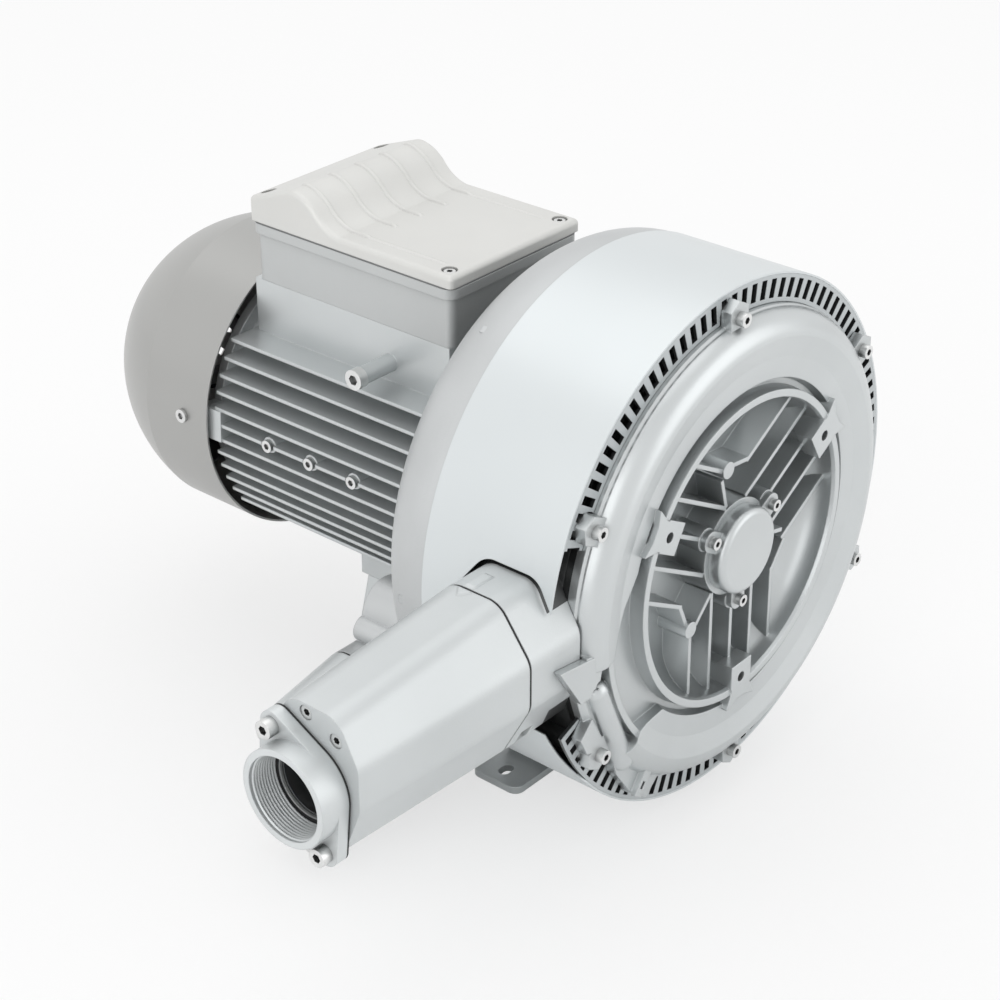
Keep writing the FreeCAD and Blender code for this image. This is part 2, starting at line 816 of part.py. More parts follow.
def intermediate_casing():
    mid, rear = MID_FACE, REAR_CHAMBER
    body = turned("intermediate_shell", [
        ("casing_radius", "cover_split"),
        ("casing_radius", rear),
        (f"{VANE_INNER}-vane_rim-2", rear),
        (f"{VANE_INNER}-vane_rim-6", f"{rear}-channel_bore"),
        ("cap_ear_circle", f"{rear}-channel_bore"),
        ("hub_radius", f"{rear}-2"),
        ("shoulder_radius+running_gap*8", f"{rear}-2"),
        ("shoulder_radius+running_gap*8", f"{mid}+2+seal_width"),
        ("seal_outer", f"{mid}+2+seal_width"),
        ("seal_outer", f"{mid}+2"),
        ("hub_radius", f"{mid}+2"),
        ("cap_ear_circle", f"{mid}+channel_bore"),
        (f"{VANE_INNER}-vane_rim-6", f"{mid}+channel_bore"),
        (f"{VANE_INNER}-vane_rim-2", mid),
        (CHAMBER_RADIUS, mid),
        (CHAMBER_RADIUS, "cover_split"),
    ])
    neck = rounded(padded("discharge_neck_block", neck_section("discharge_y", "discharge_z"),
                          ("neck_end", "-casing_radius*0.82"), "X"),
                   "section_round", runs_along("x"))
    front_room = drum("front_room", "casing_radius+cover_gap",
                      ("discharge_y-body_width/2-1", "cover_split"))
    chamber = drum("front_chamber", CHAMBER_RADIUS, ("cover_split-1", mid))
    neck = cut("discharge_neck", neck, [front_room, chamber])
    solids = [body, neck]
    for number, (x, z) in enumerate(COVER_BOLTS):
        solids.append(rod(f"middle_lug_{number}", "bolt_lug", (x, "cover_split", z),
                          f"{rear}-cover_split"))
    duct = rod("discharge_duct", "duct_radius", ("neck_end-1",) + DISCHARGE_DUCT,
               "-channel_pitch-neck_end+1", "X")
    tools = [channel("middle_front_channel", mid), channel("middle_rear_channel", rear), duct,
             cross_over()]
    tools += bolt_holes("middle_bolt_hole", COVER_BOLTS, "cover_bolt+seat_gap",
                        ("cover_split-1", f"{rear}+1"))
    tools += neck_cuts("discharge", "neck_end", "discharge_y", "discharge_z")
    finish("intermediate_casing", cut("intermediate_casing", joined("middle_casting", solids),
                                      tools))


def cross_over():
    """The passage past the stripper from the rear stage to the front stage."""
    start, end = [V(size(x), size(y), size(z)) for (x, z), y in (
        (around("channel_pitch", "channel_start"), f"{REAR_CHAMBER}-6"),
        (around("channel_pitch", STRIPPER_END), f"{MID_FACE}+6"))]
    item = doc.addObject("Part::Cylinder", "cross_over")
    item.Placement = FreeCAD.Placement(start, FreeCAD.Rotation(V(0, 0, 1), end - start))
    tie(item, "Radius", "duct_radius/2")
    item.Height = (end - start).Length
    return item


def rear_casing():
    face, wall = REAR_FACE, REAR_WALL
    shell = turned("rear_shell", [
        ("casing_radius", REAR_CHAMBER),
        ("casing_radius", f"{wall}-4"),
        ("casing_radius-4", wall),
        ("frame_flange", wall),
        ("frame_flange", MOTOR_FACE),
        ("frame_radius-4", MOTOR_FACE),
        ("frame_radius-8", wall),
        ("seal_outer", wall),
        ("seal_outer", f"{wall}-seal_width"),
        ("shoulder_radius+running_gap*8", f"{wall}-seal_width"),
        ("shoulder_radius+running_gap*8", f"{face}+2"),
        ("hub_radius", f"{face}+2"),
        ("cap_ear_circle", f"{wall}-10"),
        (f"{VANE_INNER}-vane_rim-6", f"{wall}-10"),
        (f"{VANE_INNER}-vane_rim-2", face),
        (CHAMBER_RADIUS, face),
        (CHAMBER_RADIUS, REAR_CHAMBER),
    ])
    inner_round = "(guide_round-guide_sheet)"
    guide = turned("air_guide", [
        (GUIDE_RADIUS, "band_length-guide_overlap"),
        (GUIDE_RADIUS, "band_length+cover_gap"),
        ("band_radius-1", "band_length+cover_gap"),
        ("band_radius-1", "band_length+6", "guide_round"),
        ("guide_crown", "guide_rear"),
        ("guide_mouth", "guide_rear+2"),
        ("guide_mouth", "guide_rear+2-guide_sheet"),
        ("guide_crown-2", "guide_rear-guide_sheet", f"-{inner_round}"),
        (f"{GUIDE_RADIUS}-guide_sheet", "band_length+6"),
        (f"{GUIDE_RADIUS}-guide_sheet", "band_length-guide_overlap"),
    ])
    neck = rounded(padded("suction_neck", neck_section("suction_y", "suction_z"),
                          ("suction_neck_end", "knee_x"), "X"),
                   "section_round", runs_along("x"))
    knee = rod("suction_knee", "knee_radius", ("knee_x", MOTOR_FACE, "knee_z"),
               f"knee_end-14-{MOTOR_FACE}")
    knee_front = rod("suction_knee_front", "knee_radius", ("knee_x", f"{wall}-8", "knee_z"),
                     f"{MOTOR_FACE}-{wall}+8.5")
    cap = doc.addObject("Part::Cone", "suction_knee_end")
    cap.Placement = FreeCAD.Placement(V(), DIRECTIONS["Y"])
    tie(cap, "Radius1", "knee_radius")
    tie(cap, "Radius2", "knee_radius-14")
    tie(cap, "Height", "14")
    for axis, rule in zip("xyz", ("knee_x", "knee_end-14", "knee_z")):
        tie(cap, f"Placement.Base.{axis}", rule)
    pad = box("front_foot_pad", ("-front_pad_half", "front_pad_half"),
              ("front_pad_start-2", "front_foot_stop-2"), (FRONT_PAD_LOW, "-casing_radius+8"))
    solids = [shell, guide, neck, knee, knee_front, cap, pad]
    for number, (radius, x, z) in enumerate((("24", "-145", "-65"), ("10", "-169", "-73"))):
        solids.append(rod(f"suction_boss_{number}", radius, (x, MOTOR_FACE, z),
                          f"knee_end-{MOTOR_FACE}"))
    for number in range(6):
        angle = f"bolt_turn+{30 + 60 * number}"
        solids.append(spoke(f"guide_arm_{number}", angle,
                            ("casing_radius-2", f"{GUIDE_RADIUS}-1.5"),
                            ("band_length-guide_overlap", f"{wall}-4"), ("-3", "3")))
    for number, (x, z) in enumerate(COVER_BOLTS):
        solids.append(rod(f"rear_lug_{number}", "bolt_lug", (x, REAR_CHAMBER, z),
                          "bolt_bite+5"))
    casting = joined("rear_casting", solids)
    chamber = drum("rear_chamber", CHAMBER_RADIUS, (f"{REAR_CHAMBER}-1", face))
    duct = rod("suction_duct", "duct_radius", ("suction_neck_end-1",) + SUCTION_DUCT,
               "-suction_neck_end+knee_x+9", "X")
    x, z = around("channel_pitch+3", f"{STRIPPER_END}+1.5")
    drop = rod("suction_drop", "duct_radius/2", (x, face, z),
               f"suction_y+suction_duct_shift+4-{face}")
    tools = [chamber, channel("rear_channel", face), duct, drop]
    tools += bolt_holes("rear_bolt_hole", COVER_BOLTS, "cover_bolt+seat_gap",
                        (f"{REAR_CHAMBER}-1", f"{REAR_CHAMBER}+bolt_bite+1"))
    tools += bolt_holes("motor_bolt_thread", MOTOR_BOLTS, "bolt_radius+seat_gap",
                        (f"{MOTOR_FACE}-15", f"{MOTOR_FACE}+1"))
    for number, (x, y) in enumerate(FRONT_FOOT_SCREWS):
        tools.append(rod(f"front_foot_thread_{number}", "bolt_radius+seat_gap",
                         (x, y, f"{FRONT_PAD_LOW}-1"), "17", "Z"))
    tools += neck_cuts("suction", "suction_neck_end", "suction_y", "suction_z")
    finish("rear_casing", cut("rear_casing", casting, tools))


def band():
    outside = tube("band_tube", "band_radius", "band_radius-band_sheet", ("0", "band_length"))
    span = ("-band_radius-1", "-channel_pitch*0.6")
    window = rounded(padded("band_window", neck_section("discharge_y", "discharge_z",
                                                        "-window_gap"), span, "X"),
                     "section_round", runs_along("x"))
    low = "(discharge_z-body_height/2)"
    back = padded("band_cut_back", [
        ("-1", "discharge_z"),
        ("discharge_y", "discharge_z"),
        ("discharge_y", f"{low}-window_gap"),
        ("discharge_y-body_width/2+24", f"{low}-window_gap-2"),
        ("discharge_y-body_width/2+20", f"{low}-26"),
        ("discharge_y-body_width/2+14", f"{low}-44"),
        ("-1", f"{low}-56"),
    ], span, "X")
    finish("cover_band", cut("cover_band", outside, [window, back]))


def guard_ring():
    body = new_body("guard_ring_sheet")
    outline = drawing(body, "guard_ring_profile", "XY_Plane", [
        (GUIDE_RADIUS, "0"), (GUIDE_RADIUS, "ring_thick"),
        ("casing_radius+cover_gap", "ring_thick"), ("casing_radius+cover_gap", "0")])
    turning = body.newObject("PartDesign::Revolution", "guard_ring_turn")
    turning.Profile = outline
    turning.ReferenceAxis = (outline, ["V_Axis"])
    turning.Angle = 360
    turn = "(bolt_turn+slot_pitch/2)"
    low, high = "(casing_radius+slot_inner_margin)", f"({GUIDE_RADIUS}-slot_outer_margin)"
    corners = []
    for radius, side in ((low, "-"), (high, "-"), (high, ""), (low, "")):
        corners.append((f"{radius}*sin{turn}{side or '+'}slot_half*cos{turn}",
                        f"{radius}*cos{turn}{'+' if side else '-'}slot_half*sin{turn}"))
    slot = drawing(body, "guard_slot", "XZ_Plane", corners)
    tie(slot, "AttachmentOffset.Base.z", "-ring_thick-1")
    pocket = body.newObject("PartDesign::Pocket", "guard_slot_cut")
    pocket.Profile = slot
    pocket.Reversed = False
    pocket.Type = 1
    pocket.Midplane = True
    pattern = body.newObject("PartDesign::PolarPattern", "guard_slots")
    pattern.Originals = [pocket]
    axis = [part for part in body.Origin.OriginFeatures if part.Role == "Y_Axis"][0]
    pattern.Axis = (axis, [""])
    pattern.Angle = 360
    pattern.Occurrences = round(360 / size("slot_pitch"))
    body.Tip = pattern
    tools = []
    for number, (x, z) in enumerate(COVER_BOLTS):
        tools.append(rod(f"guard_notch_{number}", "bolt_lug+1", (x, "-1", z),
                         "ring_thick+2"))
    reach = "band_radius*1.6"
    tools.append(padded("guard_end", [
        ("0", "0"), around(reach, "channel_start+ring_gap_start"),
        around(reach, "channel_start+4"), around(reach, "channel_start-ring_gap_stop")],
        ("-1", "ring_thick+1"), "Y"))
    finish("slotted_guard_ring", cut("slotted_guard_ring", body, tools))


def cover_bolts():
    length = f"({REAR_CHAMBER}+bolt_bite-bolt_lug_face)"
    screw = socket_screw("cover_bolt", "cover_bolt", length, "cover_bolt_head",
                         "cover_bolt_head_height")
    gathered("cover_bolts", [placed(screw, x, "bolt_lug_face", z) for x, z in COVER_BOLTS])


def hub_cap():
    disc = turned("cap_shell", [
        ("0", "cap_face"),
        ("cap_radius-cap_round", "cap_face", "cap_round"),
        ("cap_radius", "cap_face+cap_round"),
        ("cap_radius", "hub_face"),
        ("bearing_outer-4", "hub_face"),
        ("bearing_outer-4", "cap_face+3"),
        ("0", "cap_face+3"),
    ])
    solids = [disc]
    holes = []
    for number, (x, z) in enumerate(CAP_SCREWS):
        ear = rod(f"cap_ear_{number}", "cap_ear", (x, "hub_face-cap_ear_thick", z),
                  "cap_ear_thick")
        web = spoke(f"cap_ear_web_{number}", f"front_lug_turn+1+{120 * number}",
                    ("bearing_outer-3", "cap_ear_circle"),
                    ("hub_face-cap_ear_thick", "hub_face"), ("-cap_ear", "cap_ear"))
        solids += [ear, web]
        holes.append(rod(f"cap_hole_{number}", "cap_screw+seat_gap",
                         (x, "hub_face-cap_ear_thick-1", z), "cap_ear_thick+2"))
    finish("hub_cap", cut("hub_cap", joined("cap_casting", solids), holes))
    screw = socket_screw("cap_screw_master", "cap_screw", "cap_screw_length",
                         "cap_screw_head", "cap_screw*2")
    gathered("hub_cap_screws", [placed(screw, x, "hub_face-cap_ear_thick", z)
                                for x, z in CAP_SCREWS])


def bearing(place, start):
    """A ball bearing as an outer ring, an inner ring and its balls."""
    end = f"({start}+bearing_width)"
    pitch = "((bearing_outer+journal)/2)"
    ball = "(bearing_race*0.92)"
    outer = tube(f"{place}_outer_ring", "bearing_outer", "bearing_outer-bearing_race",
                 (start, end))
    inner = tube(f"{place}_inner_ring", "journal+bearing_race", "journal+running_gap/2",
                 (start, end))
    for ring, label in ((outer, f"{place}_bearing_outer"), (inner, f"{place}_bearing_inner")):
        groove = doc.addObject("Part::Torus", f"{label}_groove")
        tie(groove, "Radius1", pitch)
        tie(groove, "Radius2", f"{ball}+seat_gap")
        groove.Placement = FreeCAD.Placement(V(), FreeCAD.Rotation(V(1, 0, 0), 90))
        tie(groove, "Placement.Base.y", f"{start}+bearing_width/2")
        finish(label, cut(label, ring, [groove]))
    return start, pitch, ball


def bearings_and_seals():
    balls = []
    for start, pitch, ball in (bearing("front", "hub_face"),
                               bearing("rear", f"({FRAME_END}-4)")):
        sphere = Part.makeSphere(size(ball))
        for number in range(9):
            x, z = around(pitch, f"{40 * number}")
            balls.append(placed(sphere, x, f"{start}+bearing_width/2", z))
    gathered("bearing_balls", balls)
    seals = (
        ("front_shaft_seal", "seat_radius", "hub_face+bearing_width+2"),
        ("middle_shaft_seal", "shoulder_radius", f"{MID_FACE}+2"),
        ("rear_shaft_seal", "shoulder_radius", f"{REAR_WALL}-seal_width"),
    )
    for label, shaft, start in seals:
        ring = tube(f"{label}_ring", "seal_outer-seat_gap/2", f"{shaft}+running_gap",
                    (start, f"{start}+seal_width"))
        finish(label, ring)


def key_box(name, start, slack):
    low, high = f"{start}+wheel_hub_inset", f"{start}+wheel_hub_inset+wheel_hub_length"
    return box(name, (f"-key_half-({slack})", f"key_half+{slack}"),
               (f"{low}-({slack})", f"{high}+{slack}"), (f"key_low-({slack})",
                                                         f"key_high+{slack}"))


def rotor():
    first = "(cover_split+chamber_gap)"
    second = f"({REAR_CHAMBER}+chamber_gap)"
    step = f"({second}+wheel_hub_inset+wheel_hub_length)"
    rear = f"({FRAME_END}-4)"
    fan_end = "(fan_start+fan_depth)"
    core_end = "(stator_start+stator_length)"
    blank = turned("shaft_blank", [
        ("0", "hub_face+1"),
        ("journal", "hub_face+1"),
        ("journal", "hub_face+bearing_width"),
        ("seat_radius", "hub_face+bearing_width"),
        ("seat_radius", step),
        ("shoulder_radius", step),
        ("shoulder_radius", "stator_start"),
        ("rotor_seat", "stator_start"),
        ("rotor_seat", core_end),
        ("shoulder_radius", core_end),
        ("shoulder_radius", rear),
        ("journal", rear),
        ("journal", f"{rear}+bearing_width+6"),
        ("fan_seat", f"{rear}+bearing_width+6"),
        ("fan_seat", fan_end),
        ("0", fan_end),
    ])
    finish("shaft", cut("shaft", blank, [key_box("keyway_first", first, "0"),
                                         key_box("keyway_second", second, "0")]))
    keys = []
    for number, start in enumerate((first, second)):
        key = key_box(f"key_{number}", start, "-running_gap")
        doc.recompute()
        keys.append(key.Shape.copy())
    gathered("impeller_keys", keys)
    wheel(first, second)
    spacer_start = f"({first}+wheel_hub_inset+wheel_hub_length)"
    finish("impeller_spacer", tube("impeller_spacer_ring", "shoulder_radius",
                                   "seat_radius+running_gap/2",
                                   (spacer_start, f"{second}+wheel_hub_inset")))
    nut_start = "(hub_face+bearing_width+2+seal_width+cover_gap)"
    nut = doc.addObject("Part::Prism", "nut_blank")
    nut.Placement = FreeCAD.Placement(V(), DIRECTIONS["Y"])
    nut.Polygon = 6
    tie(nut, "Circumradius", "nut_radius")
    tie(nut, "Height", f"{first}+wheel_hub_inset-{nut_start}")
    tie(nut, "Placement.Base.y", nut_start)
    bore = drum("nut_bore", "seat_radius+running_gap/2", ("0", "nut_pocket"))
    finish("impeller_nut", cut("impeller_nut", nut, [bore]))
    core = tube("rotor_stack", "rotor_radius", "rotor_seat+running_gap/2",
                ("stator_start", core_end))
    finish("rotor_core", core)
    rings = []
    for number, (low, high) in enumerate((("stator_start-10", "stator_start"),
                                          (core_end, f"{core_end}+10"))):
        ring = tube(f"cage_ring_{number}", "rotor_radius-1", "rotor_seat+10", (low, high))
        doc.recompute()
        rings.append(ring.Shape.copy())
    gathered("rotor_cage_rings", rings)
    fan()


def wheel(first, second):
    """An open double-sided impeller, and its twin in the rear chamber."""
    bore = "seat_radius+running_gap/2"
    web = f"{first}+web_inset"
    body = turned("wheel", [
        (bore, f"{first}+wheel_hub_inset"),
        ("wheel_hub", f"{first}+wheel_hub_inset"),
        ("wheel_hub", web),
        (f"{VANE_INNER}-vane_rim", web),
        (f"{VANE_INNER}-vane_rim", first),
        (VANE_OUTER, first),
        (VANE_OUTER, f"{first}+vane_width"),
        (f"{VANE_INNER}-vane_rim", f"{first}+vane_width"),
        (f"{VANE_INNER}-vane_rim", f"{web}+web_thick"),
        ("wheel_hub", f"{web}+web_thick"),
        ("wheel_hub", f"{first}+wheel_hub_inset+wheel_hub_length"),
        (bore, f"{first}+wheel_hub_inset+wheel_hub_length"),
    ])
    half = "180/vane_count"
    outline = [
        (f"-{VANE_INNER}*tan({half})+vane_thick/2", VANE_INNER),
        (f"{VANE_INNER}*tan({half})-vane_thick/2", VANE_INNER),
        (f"({VANE_OUTER}+4)*tan({half})-vane_thick/2", f"{VANE_OUTER}+4"),
        (f"-({VANE_OUTER}+4)*tan({half})+vane_thick/2", f"{VANE_OUTER}+4"),
    ]
    axis = [part for part in body.Origin.OriginFeatures if part.Role == "Y_Axis"][0]
    for side, plane in (("front", first), ("rear", f"{first}+vane_width")):
        sketch = drawing(body, f"vane_gap_{side}", "XZ_Plane", outline)
        tie(sketch, "AttachmentOffset.Base.z", f"-({plane})")
        pocket = body.newObject("PartDesign::Pocket", f"vane_gap_{side}_cut")
        pocket.Profile = sketch
        tie(pocket, "Length", "vane_pocket")
        pocket.Reversed = side == "rear"
        pattern = body.newObject("PartDesign::PolarPattern", f"vanes_{side}")
        pattern.Originals = [pocket]
        pattern.Axis = (axis, [""])
        pattern.Angle = 360
        pattern.Occurrences = int(size("vane_count"))
        body.Tip = pattern
    key = key_box("wheel_keyway", first, "0")
    item = cut("first_stage_impeller", body, [key])
    doc.recompute()
    twin = doc.addObject("Part::Feature", "second_stage_impeller")
    twin.Shape = item.Shape.copy()
    twin.Placement = FreeCAD.Placement(V(0, size(second) - size(first), 0), FreeCAD.Rotation())
    finish("first_stage_impeller", item)
    finish("second_stage_impeller", twin)


def fan():
    solids = [tube("fan_hub_tube", "fan_hub", "fan_seat+running_gap/2",
                   ("fan_start", "fan_start+fan_depth")),
              tube("fan_plate", "fan_radius*0.6", "fan_hub-2",
                   ("fan_start", "fan_start+4"))]
    for number in range(int(size("fan_blades"))):
        solids.append(spoke(f"fan_blade_{number}", f"{360 / size('fan_blades') * number}",
                            ("fan_hub-2", "fan_radius"),
                            ("fan_start+1", "fan_start+fan_depth"), ("-1.5", "1.5")))
    finish("cooling_fan", joined("cooling_fan", solids))


def silencer(name, start, y, z, length, shift, duct):
    """One silencer with its foam sleeve, gaskets, threaded port flange and screws."""
    near = f"({start}-gasket_thick)"
    far = f"({near}-{length})"
    end_z = f"({z}-end_drop)"
    port_y, port_z = f"({y}+{shift})", f"({z}-port_drop)"
    sections = ("end_corner", "end_height*0.3", "end_height*0.4")
    shells = []
    for part, inset, low, high in (("outside", "0", far, near),
                                   ("inside", "silencer_wall", f"({far}+silencer_wall)",
                                    f"({near}+0.01)")):
        body = new_body(f"{name}_{part}")
        first = drawing(body, f"{name}_{part}_near", "YZ_Plane", neck_section(y, z, inset))
        tie(first, "AttachmentOffset.Base.z", high)
        last = drawing(body, f"{name}_{part}_far", "YZ_Plane", section(
            y, end_z, "end_width", "end_height", *sections, inset))
        tie(last, "AttachmentOffset.Base.z", low)
        loft = body.newObject("PartDesign::AdditiveLoft", f"{name}_{part}_loft")
        loft.Profile = first
        loft.Sections = [last]
        loft.Ruled = True
        shells.append(body)
    rounded(shells[0], "section_round", lambda edge: edge.BoundBox.XLength > 20)
    screws = neck_screws(y, z)
    lugs = []
    for number, (place_y, place_z) in enumerate(screws):
        lugs.append(rod(f"{name}_lug_{number}", "flange_screw+5",
                        (f"{near}-lug_depth", place_y, place_z), "lug_depth", "X"))
    ties = tie_screws(y, z)
    for number, (place_y, place_z) in enumerate(ties):
        lugs.append(rod(f"{name}_tie_column_{number}", "tie_column",
                        (far, place_y, place_z), f"{near}-{far}", "X"))
    hollow = cut(f"{name}_hollow", shells[0], [shells[1]])
    port_hole = rod(f"{name}_port_hole", "port_thread-4", (f"{far}-1", port_y, port_z),
                    "silencer_wall+2", "X")
    holes = [port_hole]
    flange_screws = flange_places(port_y, port_z)
    for number, (place_y, place_z) in enumerate(screws):
        holes.append(rod(f"{name}_lug_hole_{number}", "flange_screw+seat_gap",
                         (f"{near}-lug_depth+2", place_y, place_z), "lug_depth", "X"))
    for number, (place_y, place_z) in enumerate(ties):
        holes.append(rod(f"{name}_tie_hole_{number}", "tie_screw+seat_gap",
                         (f"{far}-1", place_y, place_z), f"{near}-{far}+2", "X"))
        holes.append(rod(f"{name}_tie_sink_{number}", "tie_screw_head+seat_gap*2",
                         (f"{far}-1", place_y, place_z), "tie_screw*2+2", "X"))
    bosses = []
    for number, (place_y, place_z) in enumerate(flange_screws):
        bosses.append(rod(f"{name}_flange_boss_{number}", "flange_screw+4",
                          (far, place_y, place_z), "14", "X"))
        holes.append(rod(f"{name}_flange_thread_{number}", "flange_screw+seat_gap",
                         (f"{far}-1", place_y, place_z), "17", "X"))
    inner_lugs = shared(f"{name}_inner_lugs", [shells[0], joined(f"{name}_lugs", lugs + bosses)])
    doc.recompute()
    body = cut(f"{name}_silencer", joined(f"{name}_casting", [hollow, inner_lugs]), holes)
    finish(f"{name}_silencer", body)
    gasket = rounded(padded(f"{name}_gasket_sheet", neck_section(y, z, "0.5"), (near, start), "X"),
                     "section_round-0.5", runs_along("x"))
    holes = [rod(f"{name}_gasket_hole", "duct_radius+2", (f"{near}-1",) + duct,
                 "gasket_thick+2", "X")]
    for number, (place_y, place_z) in enumerate(ties):
        holes.append(rod(f"{name}_gasket_tie_{number}", "tie_screw+seat_gap",
                         (f"{near}-1", place_y, place_z), "gasket_thick+2", "X"))
    for number, (place_y, place_z) in enumerate(screws):
        holes.append(rod(f"{name}_gasket_screw_{number}", "flange_screw+seat_gap",
                         (f"{near}-1", place_y, place_z), "gasket_thick+2", "X"))
    finish(f"{name}_gasket", cut(f"{name}_gasket", gasket, holes))
    foam_outer = rod(f"{name}_foam_outer", "foam_inner+foam_thick",
                     (f"{far}+silencer_wall+cover_gap", port_y, port_z),
                     f"{length}-silencer_wall-2*cover_gap", "X")
    foam_hole = rod(f"{name}_foam_hole", "foam_inner", (f"{far}", port_y, port_z),
                    f"{length}+2", "X")
    finish(f"{name}_foam_sleeve", cut(f"{name}_foam_sleeve", foam_outer, [foam_hole]))
    port(name, far, port_y, port_z, flange_screws)
    return near, screws, ties, far, flange_screws


def flange_places(y, z):
    return [(f"{y}+flange_reach*sin(flange_turn)", f"{z}+flange_reach*cos(flange_turn)"),
            (f"{y}-flange_reach*sin(flange_turn)", f"{z}-flange_reach*cos(flange_turn)")]


def flange_plate(name, y, z, span, screws):
    """The two-eared outline of a port flange, padded along X."""
    lean = "((port_boss-flange_ear)/flange_reach)"
    rise = f"sqrt(1-{lean}*{lean})"
    points = []
    for end, side in ((1, 1), (1, -1), (-1, -1), (-1, 1)):
        outer = (f"{end}*(flange_reach+flange_ear*{lean})", f"{side}*flange_ear*{rise}")
        inner = (f"{end}*port_boss*{lean}", f"{side}*port_boss*{rise}")
        pair = (inner, outer) if (end > 0) == (side > 0) else (outer, inner)
        points += pair
    outline = [(f"{y}+({along})*sin(flange_turn)+({across})*cos(flange_turn)",
                f"{z}+({along})*cos(flange_turn)-({across})*sin(flange_turn)")
               for along, across in points]
    pieces = [padded(f"{name}_web", outline, span, "X")]
    for number, (place_y, place_z) in enumerate(screws):
        pieces.append(rod(f"{name}_ear_{number}", "flange_ear", (span[0], place_y, place_z),
                          f"{span[1]}-({span[0]})", "X"))
    pieces.append(rod(f"{name}_disc", "port_boss", (span[0], y, z),
                      f"{span[1]}-({span[0]})", "X"))
    return joined(f"{name}_plate", pieces)


def port(name, far, y, z, screws):
    gasket_face = f"({far}-flange_gasket)"
    plate_face = f"({gasket_face}-flange_thick)"
    boss_face = f"({gasket_face}-flange_thick-14)"
    holes = [rod(f"{name}_flange_bore", "port_thread", (f"{boss_face}-1", y, z),
                 f"{far}-{boss_face}+3", "X")]
    for number, (place_y, place_z) in enumerate(screws):
        holes.append(rod(f"{name}_ear_hole_{number}", "flange_screw+seat_gap",
                         (f"{boss_face}-1", place_y, place_z), f"{far}-{boss_face}+3", "X"))
    gasket = flange_plate(f"{name}_flange_gasket", y, z, (gasket_face, far), screws)
    finish(f"{name}_flange_gasket", cut(f"{name}_flange_gasket", gasket, holes))
    plate = flange_plate(f"{name}_port_flange", y, z, (plate_face, gasket_face), screws)
    boss = rod(f"{name}_port_boss", "port_boss", (boss_face, y, z),
               f"{gasket_face}-{boss_face}", "X")
    body = joined(f"{name}_port_body", [plate, boss])
    finish(f"{name}_port_flange", cut(f"{name}_port_flange", body, holes))


def silencers():
    ends = [silencer("discharge", "neck_end", "discharge_y", "discharge_z",
                     "discharge_length", "port_shift", DISCHARGE_DUCT),
            silencer("suction", "suction_neck_end", "suction_y", "suction_z",
                     "suction_length", "suction_port_shift", SUCTION_DUCT)]
    joint = socket_screw("joint_screw", "flange_screw", "neck_lip+gasket_thick+lug_depth-3",
                         "bolt_head", "bolt_head_height")
    flange = socket_screw("flange_screw_master", "flange_screw", "24", "bolt_head",
                          "bolt_head_height")
    inward = V(1, 0, 0)
    for name, (near, screws, ties, far, ports) in zip(("discharge", "suction"), ends):
        seat = f"({far}+tie_screw*2+1)"
        tie_rod = socket_screw(f"{name}_tie_screw", "tie_screw",
                               f"{near}+gasket_thick+tie_bite-{seat}", "tie_screw_head",
                               "tie_screw*2")
        group = [placed(joint, f"{near}+gasket_thick+neck_lip", y, z, V(-1, 0, 0))
                 for y, z in screws]
        group += [placed(tie_rod, seat, y, z, inward) for y, z in ties]
        gathered(f"{name}_joint_screws", group)
        gathered(f"{name}_flange_screws",
                 [placed(flange, f"{far}-flange_gasket-flange_thick", y, z, inward)
                  for y, z in ports])


def foot_slots(name, y):
    slots = []
    for number, side in enumerate(("-", "")):
        middle = f"{side}slot_place"
        half = "(slot_length/2-slot_radius)"
        for end, sign in enumerate(("-", "+")):
            slots.append(rod(f"{name}_slot_{number}_{end}", "slot_radius",
                             (f"{middle}{sign}{half}", y, "-shaft_height-1"),
                             "foot_thick+2", "Z"))
        slots.append(box(f"{name}_slot_{number}", (f"{middle}-{half}", f"{middle}+{half}"),
                         (f"{y}-slot_radius", f"{y}+slot_radius"),
                         ("-shaft_height-1", "-shaft_height+foot_thick+1")))
    return slots


FRONT_FOOT_SCREWS = [("-front_pad_half+18", "(front_pad_start+front_foot_stop-4)/2"),
                     ("front_pad_half-18", "(front_pad_start+front_foot_stop-4)/2")]
REAR_FOOT_SCREWS = [("-frame_foot_half+15", "(rear_foot_start+rear_foot_stop)/2"),
                    ("frame_foot_half-15", "(rear_foot_start+rear_foot_stop)/2")]


